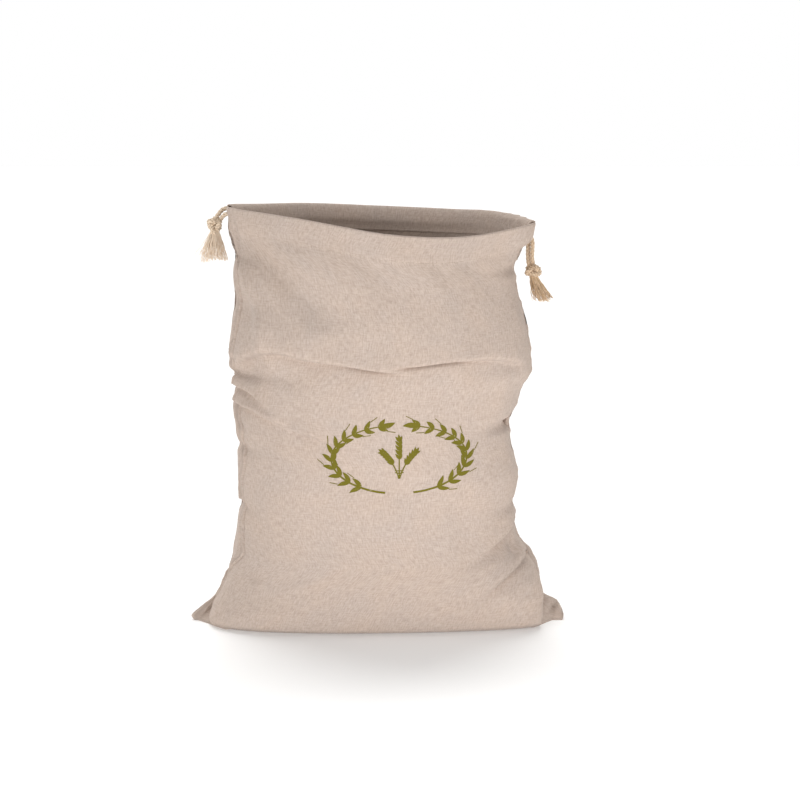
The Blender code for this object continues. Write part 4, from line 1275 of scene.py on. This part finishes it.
def strand_paths(knot, seed):
    """Lines of frayed strands from inside the knot's foot: a full body, wisps at the ends (mm)."""
    pick = np.random.default_rng(seed)
    centre, tip = np.array(knot["centre"]), np.array(knot["tip"])
    foot = centre - (0, 0, knot["half"][2] * 0.5)
    drop = foot[2] - tip[2]
    fan = np.array((*knot["fan"], 0))
    share = np.sqrt((np.arange(WISPS) + 0.3) / WISPS)
    wisps = golden(np.arange(WISPS)) * share[:, None]
    length = 1.05 - 0.10 * share - pick.uniform(0, WISP_SHORTER, WISPS)
    t = np.linspace(0, 1, 11)[:, None]
    paths = []
    for index in range(STRANDS):
        across = golden(index) * math.sqrt((index + 0.5) / STRANDS)
        near = int(np.argmin(np.linalg.norm(wisps - across, axis=1)))
        gathered = across + (wisps[near] - across) * WISP_PULL * t**2
        loose = LOOSE_STRAY if index % LOOSE_EVERY == 0 else 1.0
        stray = np.array((*pick.normal(0, STRAY_SPREAD, 2), 0)) * loose
        line = foot + across * ROOT_REACH * (1 - t) + gathered * fan * t**0.95
        line = line + stray * t * (0.4 + t)
        line[:, :2] += (tip - foot)[:2] * t**1.25
        shorter = abs(pick.normal(0, STRAND_SHORTER))
        line[:, 2] = foot[2] - drop * (length[near] - shorter) * t[:, 0]
        paths.append(line)
    return paths


def tassel(side, tree, material, seed):
    """The frayed strands below a knot."""
    lines = path_object("strand_lines_" + side, strand_paths(KNOTS[side], seed))
    return grown("frayed_end_" + side, lines, tree, {**STRAND_SIZES, "Seed": seed}, material)


# ---- sewing -----------------------------------------------------------------------------------
HEM_STITCH = 4.0
STITCH_SPACING = 0.6
CLOTH_STITCHES = {"Pitch": 0.0026, "Thread Radius": 0.00026, "Length Share": 0.78}
BAR_STITCHES = {"Pitch": 0.0009, "Thread Radius": 0.0003, "Length Share": 1.5}
PROUD_IN_CASING, PROUD_IN_SEAM = 0.02, 0.05
# A bar's zigzag: how many turns, their pitch, where the first lies, and half its width.
BAR = {"turns": 15, "pitch": 0.42, "from": -2.5, "half": 1.1, "proud": 0.5}


def row_line(panel, below, sink, skip=2):
    """A line along the casing at a depth below the rim, a little proud of the cloth (mm)."""
    rows = np.arange(panel.z.shape[0])
    columns = range(skip, panel.z.shape[1] - skip)
    at = [np.interp(-below, -panel.below_rim[:, column], rows) for column in columns]
    return np.array([panel.raised(row, column, sink) for row, column in zip(at, columns)])


def edge_line(panel, name, rows, inset, sink):
    """A line up some rows of a panel, at a distance from its edge (mm)."""
    columns = np.arange(panel.z.shape[1])
    line = []
    for row in rows:
        if name == "left":
            column = np.interp(inset, panel.from_left[row], columns)
        else:
            column = len(columns) - 1 - np.interp(inset, panel.from_right[row][::-1], columns)
        line.append(panel.raised(row, column, sink))
    return np.array(line)


def bar_line(front, back, name, edge):
    """The zigzag of the sewn bar at a slit's foot (mm)."""
    row = front.first_free[name] - 1
    tangent = front.outer[row + 2, edge] - front.outer[row - 2, edge]
    tangent /= np.linalg.norm(tangent)
    inner = 5 if edge == 0 else -6
    across = front.outer[row, inner] - back.outer[row, inner]
    across /= np.linalg.norm(across)
    away = np.cross(tangent, across)
    away *= np.sign(away[0]) * (-1 if name == "left" else 1)
    step = np.arange(BAR["turns"])[:, None]
    return (front.outer[row, edge] + tangent * (step * BAR["pitch"] + BAR["from"])
            + across * BAR["half"] * np.where(step % 2, 1, -1) + away * BAR["proud"])


def joined(name, pieces):
    """Several mesh objects as one."""
    material = pieces[0].data.materials[0]
    mesh = bpy.data.meshes.new(name)
    with reworked(mesh) as body:
        for piece in pieces:
            old = piece.data
            body.from_mesh(old)
            bpy.data.objects.remove(piece, do_unlink=True)
            bpy.data.meshes.remove(old)
    return new_object(name, mesh, material)


def sewing(front, back, tree, material):
    """Stitches along the casing, the slits' hems and the seams, and the bars at the slits' feet."""
    lines = [row_line(panel, CASING_DEPTH, PROUD_IN_CASING) for panel in (front, back)]
    for panel in (front, back):
        for name, foot in panel.first_free.items():
            hem = range(foot + 1, len(panel.z) - 2)
            lines.append(edge_line(panel, name, hem, HEM_STITCH, PROUD_IN_CASING))
            seam = range(int(np.searchsorted(panel.low, SEAM_SEWN_FROM)), foot - 1)
            lines.append(edge_line(panel, name, seam, SEAM_STITCH, PROUD_IN_SEAM))
    paths = [smooth_path(line, STITCH_SPACING) for line in lines]
    bars = [bar_line(front, back, name, edge) for name, edge in (("left", 0), ("right", -1))]
    return joined("sewing_thread", [
        grown("stitches", path_object("stitch_lines", paths), tree, CLOTH_STITCHES, material),
        grown("slit_bars", path_object("bar_lines", bars), tree, BAR_STITCHES, material)])


# ---- the print --------------------------------------------------------------------------------
PRINT_MIDDLE = (19.0, 148.5)
PRINT_HALF = (53.32, 27.52)
INK_PROUD = 0.16
STALK_ENDS = (-78, 74)
STALK_WIDTHS = (0.85, 0.45)
# Pairs of kernels: the first and last pair's places on the stalk, how many, how far each kernel
# leans out, its length, how much less each next pair has, and its width.
KERNELS = {"ends": (-56, 72), "pairs": 11, "lean": 0.62, "long": 10.4, "less": 0.2, "wide": 1.75}
AWN = {"long": 6.6, "half": 0.3, "bend": 0.3, "overlap": 0.6}
TIP_KERNEL = (12.0, 2.2)
EARS = ((-0.62, 25.0), (0.0, 31.0), (0.62, 25.0))
EAR_FOOT_Z = -17.0
EAR_STALK, EAR_STATIONS, EAR_BARE = 0.5, 18, 9
EAR_KERNEL, EAR_TIP, EAR_KERNEL_LEAN = (5.4, 1.1), (6.0, 1.2), 0.5
BANDS = {"z": (-11.0, -9.2), "half": 3.4, "sag": 0.5, "width": 0.42}


def ribbon(line, widths):
    """A flat strip's (left, middle, right) edges along a line of (x, z)."""
    line = np.asarray(line, float)
    slope = np.gradient(line, axis=0)
    slope /= np.linalg.norm(slope, axis=1, keepdims=True)
    side = np.stack([-slope[:, 1], slope[:, 0]], axis=1) * np.asarray(widths)[:, None]
    return line + side, line, line - side


def grain(foot, turn, length, width):
    """One plump kernel, pointed at its tip."""
    t = np.linspace(0, 1, 9)
    bend = turn + 0.25 * (t - 0.5)
    line = np.stack([foot[0] + length * t * np.cos(bend), foot[1] + length * t * np.sin(bend)], 1)
    return ribbon(line, np.maximum(width * np.sin(PI * t**0.8) ** 0.8, 0.06))


def sprig(sign):
    """Half of an open wreath: a curved stalk with kernels in pairs and fine awns."""
    a, b = PRINT_HALF
    a *= sign

    def place_and_heading(angle):
        place = np.array((a * math.cos(angle), b * math.sin(angle)))
        return place, math.atan2(b * math.cos(angle), -a * math.sin(angle))

    angles = np.linspace(*map(math.radians, STALK_ENDS), 60)
    stalk = np.stack([a * np.cos(angles), b * np.sin(angles)], axis=1)
    strips = [ribbon(stalk, np.linspace(*STALK_WIDTHS, 60))]
    pairs = np.linspace(*map(math.radians, KERNELS["ends"]), KERNELS["pairs"])
    for i, angle in enumerate(pairs):
        foot, heading = place_and_heading(angle)
        size = KERNELS["long"] - KERNELS["less"] * i
        for side in (-1, 1):
            turn = heading + side * KERNELS["lean"]
            strips.append(grain(foot, turn, size, KERNELS["wide"]))
            if i % 2 == (side > 0):
                reach = np.array((math.cos(turn), math.sin(turn)))
                bent = turn - side * AWN["bend"]
                far = np.array((math.cos(bent), math.sin(bent)))
                t = np.linspace(0, 1, 6)[:, None]
                awn = foot + reach * (size - AWN["overlap"]) + (far * AWN["long"]) * t
                strips.append(ribbon(awn, np.full(6, AWN["half"])))
    strips.append(grain(*place_and_heading(angles[-1]), *TIP_KERNEL))
    return strips


def centre_motif():
    """Three short ears standing in the middle of the wreath, tied by a band."""
    strips = []
    for lean, height in EARS:
        t = np.linspace(0, 1, EAR_STATIONS)
        turn = PI / 2 - lean * (0.35 + 0.9 * t)
        line = np.stack([np.cumsum(np.cos(turn)), np.cumsum(np.sin(turn))], 1)
        line = line * height / EAR_STATIONS + (0.0, EAR_FOOT_Z)
        strips.append(ribbon(line, np.full(EAR_STATIONS, EAR_STALK)))
        for i in range(EAR_BARE, EAR_STATIONS, 2):
            for side in (-1, 1):
                strips.append(grain(line[i], turn[i] + side * EAR_KERNEL_LEAN, *EAR_KERNEL))
        strips.append(grain(line[-1], turn[-1], *EAR_TIP))
    t = np.linspace(-1, 1, 12)
    for height in BANDS["z"]:
        band = np.stack([t * BANDS["half"], height + BANDS["sag"] * t**2], 1)
        strips.append(ribbon(band, np.full(12, BANDS["width"])))
    return strips


def printed_design(front, material):
    """The print as a thin film of ink that follows the cloth."""
    points, faces, flats = [], [], []
    for strip in sprig(-1) + sprig(1) + centre_motif():
        for station in range(len(strip[1])):
            for edge in range(3):
                if station and edge:
                    a = len(points) - 4
                    faces.append((a, a + 3, a + 4, a + 1))
                x, z = strip[edge][station] + np.array(PRINT_MIDDLE)
                place, normal = front.spot(x, z)
                points.append(place + normal * INK_PROUD)
                flats.append((x, z))
    made = mesh_object("printed_wreath", points, faces, material, flats)
    with reworked(made.data) as body:
        for face in body.faces:
            face.normal_update()
            if face.normal.y > 0:
                face.normal_flip()
    return made


# ---- the stage --------------------------------------------------------------------------------
LENS, SENSOR = 80.0, 36.0
CAMERA_FAR = 1450.0
CAMERA_RISE = math.radians(11.0)
AIM = (19.6, 0.0, 183.5)
VIEW_REACH = 20.0
ROOM_LIGHT = 0.32
FLOOR = {"half": 6000.0, "shade": 0.9, "glow": 0.10}
WALL_RADIUS = 9.0
# Far lamps: where from, how broad in degrees, how strong, and their colour.
SUNS = {
    "key": ((-0.5, -1.0, 0.12), 10, 0.55, (1.0, 1.0, 1.0)),
    "left": ((-1.0, -0.4, 0.15), 8, 1.15, (0.97, 0.99, 1.0)),
    "right": ((1.0, -0.7, 0.1), 20, 1.15, (1.0, 1.0, 1.0)),
    "back": ((-0.15, 0.95, 1.15), 60, 3.0, (1.0, 0.99, 0.97)),
}
# A broad soft lamp just above the floor, in front of the bag's base: its place and size in metres.
LOW_BOX = {"place": (0.16, -0.45, 0.11), "size": (0.5, 0.08), "power": 0.9}


def camera():
    back = Vector((0, -math.cos(CAMERA_RISE), math.sin(CAMERA_RISE)))
    data = bpy.data.cameras.new("camera")
    data.lens = LENS
    data.sensor_width = SENSOR
    data.clip_end = VIEW_REACH
    made = new_object("camera", data)
    made.location = Vector(AIM) * MM + back * (CAMERA_FAR * MM)
    made.rotation_euler = back.to_track_quat("Z", "Y").to_euler()
    bpy.context.scene.camera = made


def lamps():
    for name, (place, spread, power, colour) in SUNS.items():
        data = bpy.data.lights.new(name, "SUN")
        data.energy, data.angle, data.color = power, math.radians(spread), colour
        made = new_object(name, data)
        made.location = Vector(place)
        made.rotation_euler = Vector(place).to_track_quat("Z", "Y").to_euler()
    data = bpy.data.lights.new("low_box", "AREA")
    data.shape = "RECTANGLE"
    data.size, data.size_y = LOW_BOX["size"]
    data.energy = LOW_BOX["power"]
    made = new_object("low_box", data)
    made.location = LOW_BOX["place"]
    made.rotation_euler = (PI / 2, 0, 0)


def plain_white(name, shade, strength):
    """A matt white that glows a little, as a studio's lit floor does."""
    finish = Finish(name)
    for label, value in (("Base Color", (shade, shade, shade, 1)), ("Roughness", 1.0),
                         ("Specular IOR Level", 0.0), ("Emission Color", (1, 1, 1, 1)),
                         ("Emission Strength", strength)):
        finish.put(value, finish.shader.inputs[label])
    return finish.material


def studio():
    """The room's light, the floor, and a white wall all round that only the camera sees."""
    world = bpy.data.worlds.new("pale_room")
    world.use_nodes = True
    room = world.node_tree.nodes["Background"]
    room.inputs["Color"].default_value = (1, 1, 1, 1)
    room.inputs["Strength"].default_value = ROOM_LIGHT
    bpy.context.scene.world = world
    bpy.context.scene.view_settings.view_transform = "Standard"
    lamps()
    half = FLOOR["half"]
    corners = [(-half, -half, 0), (half, -half, 0), (half, half, 0), (-half, half, 0)]
    floor = mesh_object("floor", corners, [(0, 1, 2, 3)],
                        plain_white("pale_floor", FLOOR["shade"], FLOOR["glow"]), smooth=False)
    mesh = bpy.data.meshes.new("white_wall")
    with reworked(mesh) as wall:
        bmesh.ops.create_uvsphere(wall, u_segments=64, v_segments=32, radius=WALL_RADIUS)
        bmesh.ops.reverse_faces(wall, faces=wall.faces)
    dome = new_object("white_wall", mesh, plain_white("white_wall_looks", 0.0, 1.0))
    dome.visible_diffuse = dome.visible_glossy = dome.visible_shadow = False
    dome.visible_transmission = dome.visible_volume_scatter = False


# ---- all together -----------------------------------------------------------------------------
# Colours of the cotton: twisted (in the shade, in the light), frayed (deep, shade, light). Both sides
# are the same cotton. The right side's darker, browner colours are painted shade and the left side's
# paler ones are painted light. The twisted cotton's darker colour is partly the fibres' own tone and
# partly painted shade between the plies.
COTTON_LIT_AND_SHADED = {
    "left": (((0.46, 0.35, 0.25), (0.74, 0.61, 0.47)),
             ((0.50, 0.37, 0.26), (0.74, 0.58, 0.44), (0.88, 0.76, 0.62))),
    "right": (((0.36, 0.25, 0.155), (0.66, 0.51, 0.37)),
              ((0.30, 0.19, 0.10), (0.62, 0.44, 0.28), (0.84, 0.68, 0.50))),
}
LINEN = ((0.377, 0.300, 0.252), (0.451, 0.365, 0.312), (0.516, 0.423, 0.366))
SEWING_THREAD = ((0.40, 0.32, 0.26), (0.56, 0.47, 0.40))
OLIVE_INK = ((0.135, 0.115, 0.008), (0.42, 0.36, 0.25))
FIRST_SEED = 5


def main():
    for old in list(bpy.data.objects):
        bpy.data.objects.remove(old, do_unlink=True)
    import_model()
    camera()

    cord_tree, strands_tree, sewn_tree = twisted_cord_tree(), strand_tree(), stitch_tree()
    for seed, (side, (twisted, frayed)) in enumerate(COTTON_LIT_AND_SHADED.items(), FIRST_SEED):
        # The same cotton gets a darker finish on the right, as painted shade, and a paler one on the
        # left, as painted light.
        cotton = rope_finish("twisted_cotton_" + side, *twisted)
        cord, route = drawcord(side, cord_tree, cotton)
        head = knot_head(side, cord_tree, cotton)
        ends = tassel(side, strands_tree, frayed_finish("frayed_cotton_" + side, *frayed), seed)
        for piece, node in ((head, "tassel_"), (ends, "tassel_"), (cord, "drawcord_")):
            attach(piece, "root")
            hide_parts(node + side)

    front, back = Panel("front"), Panel("back")
    cloth = bag_cloth(front, back, linen_finish("linen_looks", *LINEN))
    thread = plain_thread_finish("sewing_thread_looks", *SEWING_THREAD)
    sewn = sewing(front, back, sewn_tree, thread)
    printed = printed_design(front, ink_finish("olive_ink_looks", *OLIVE_INK))
    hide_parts("bag_cloth")
    for piece in (cloth, sewn, printed):
        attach(piece, "root")

    studio()


main()
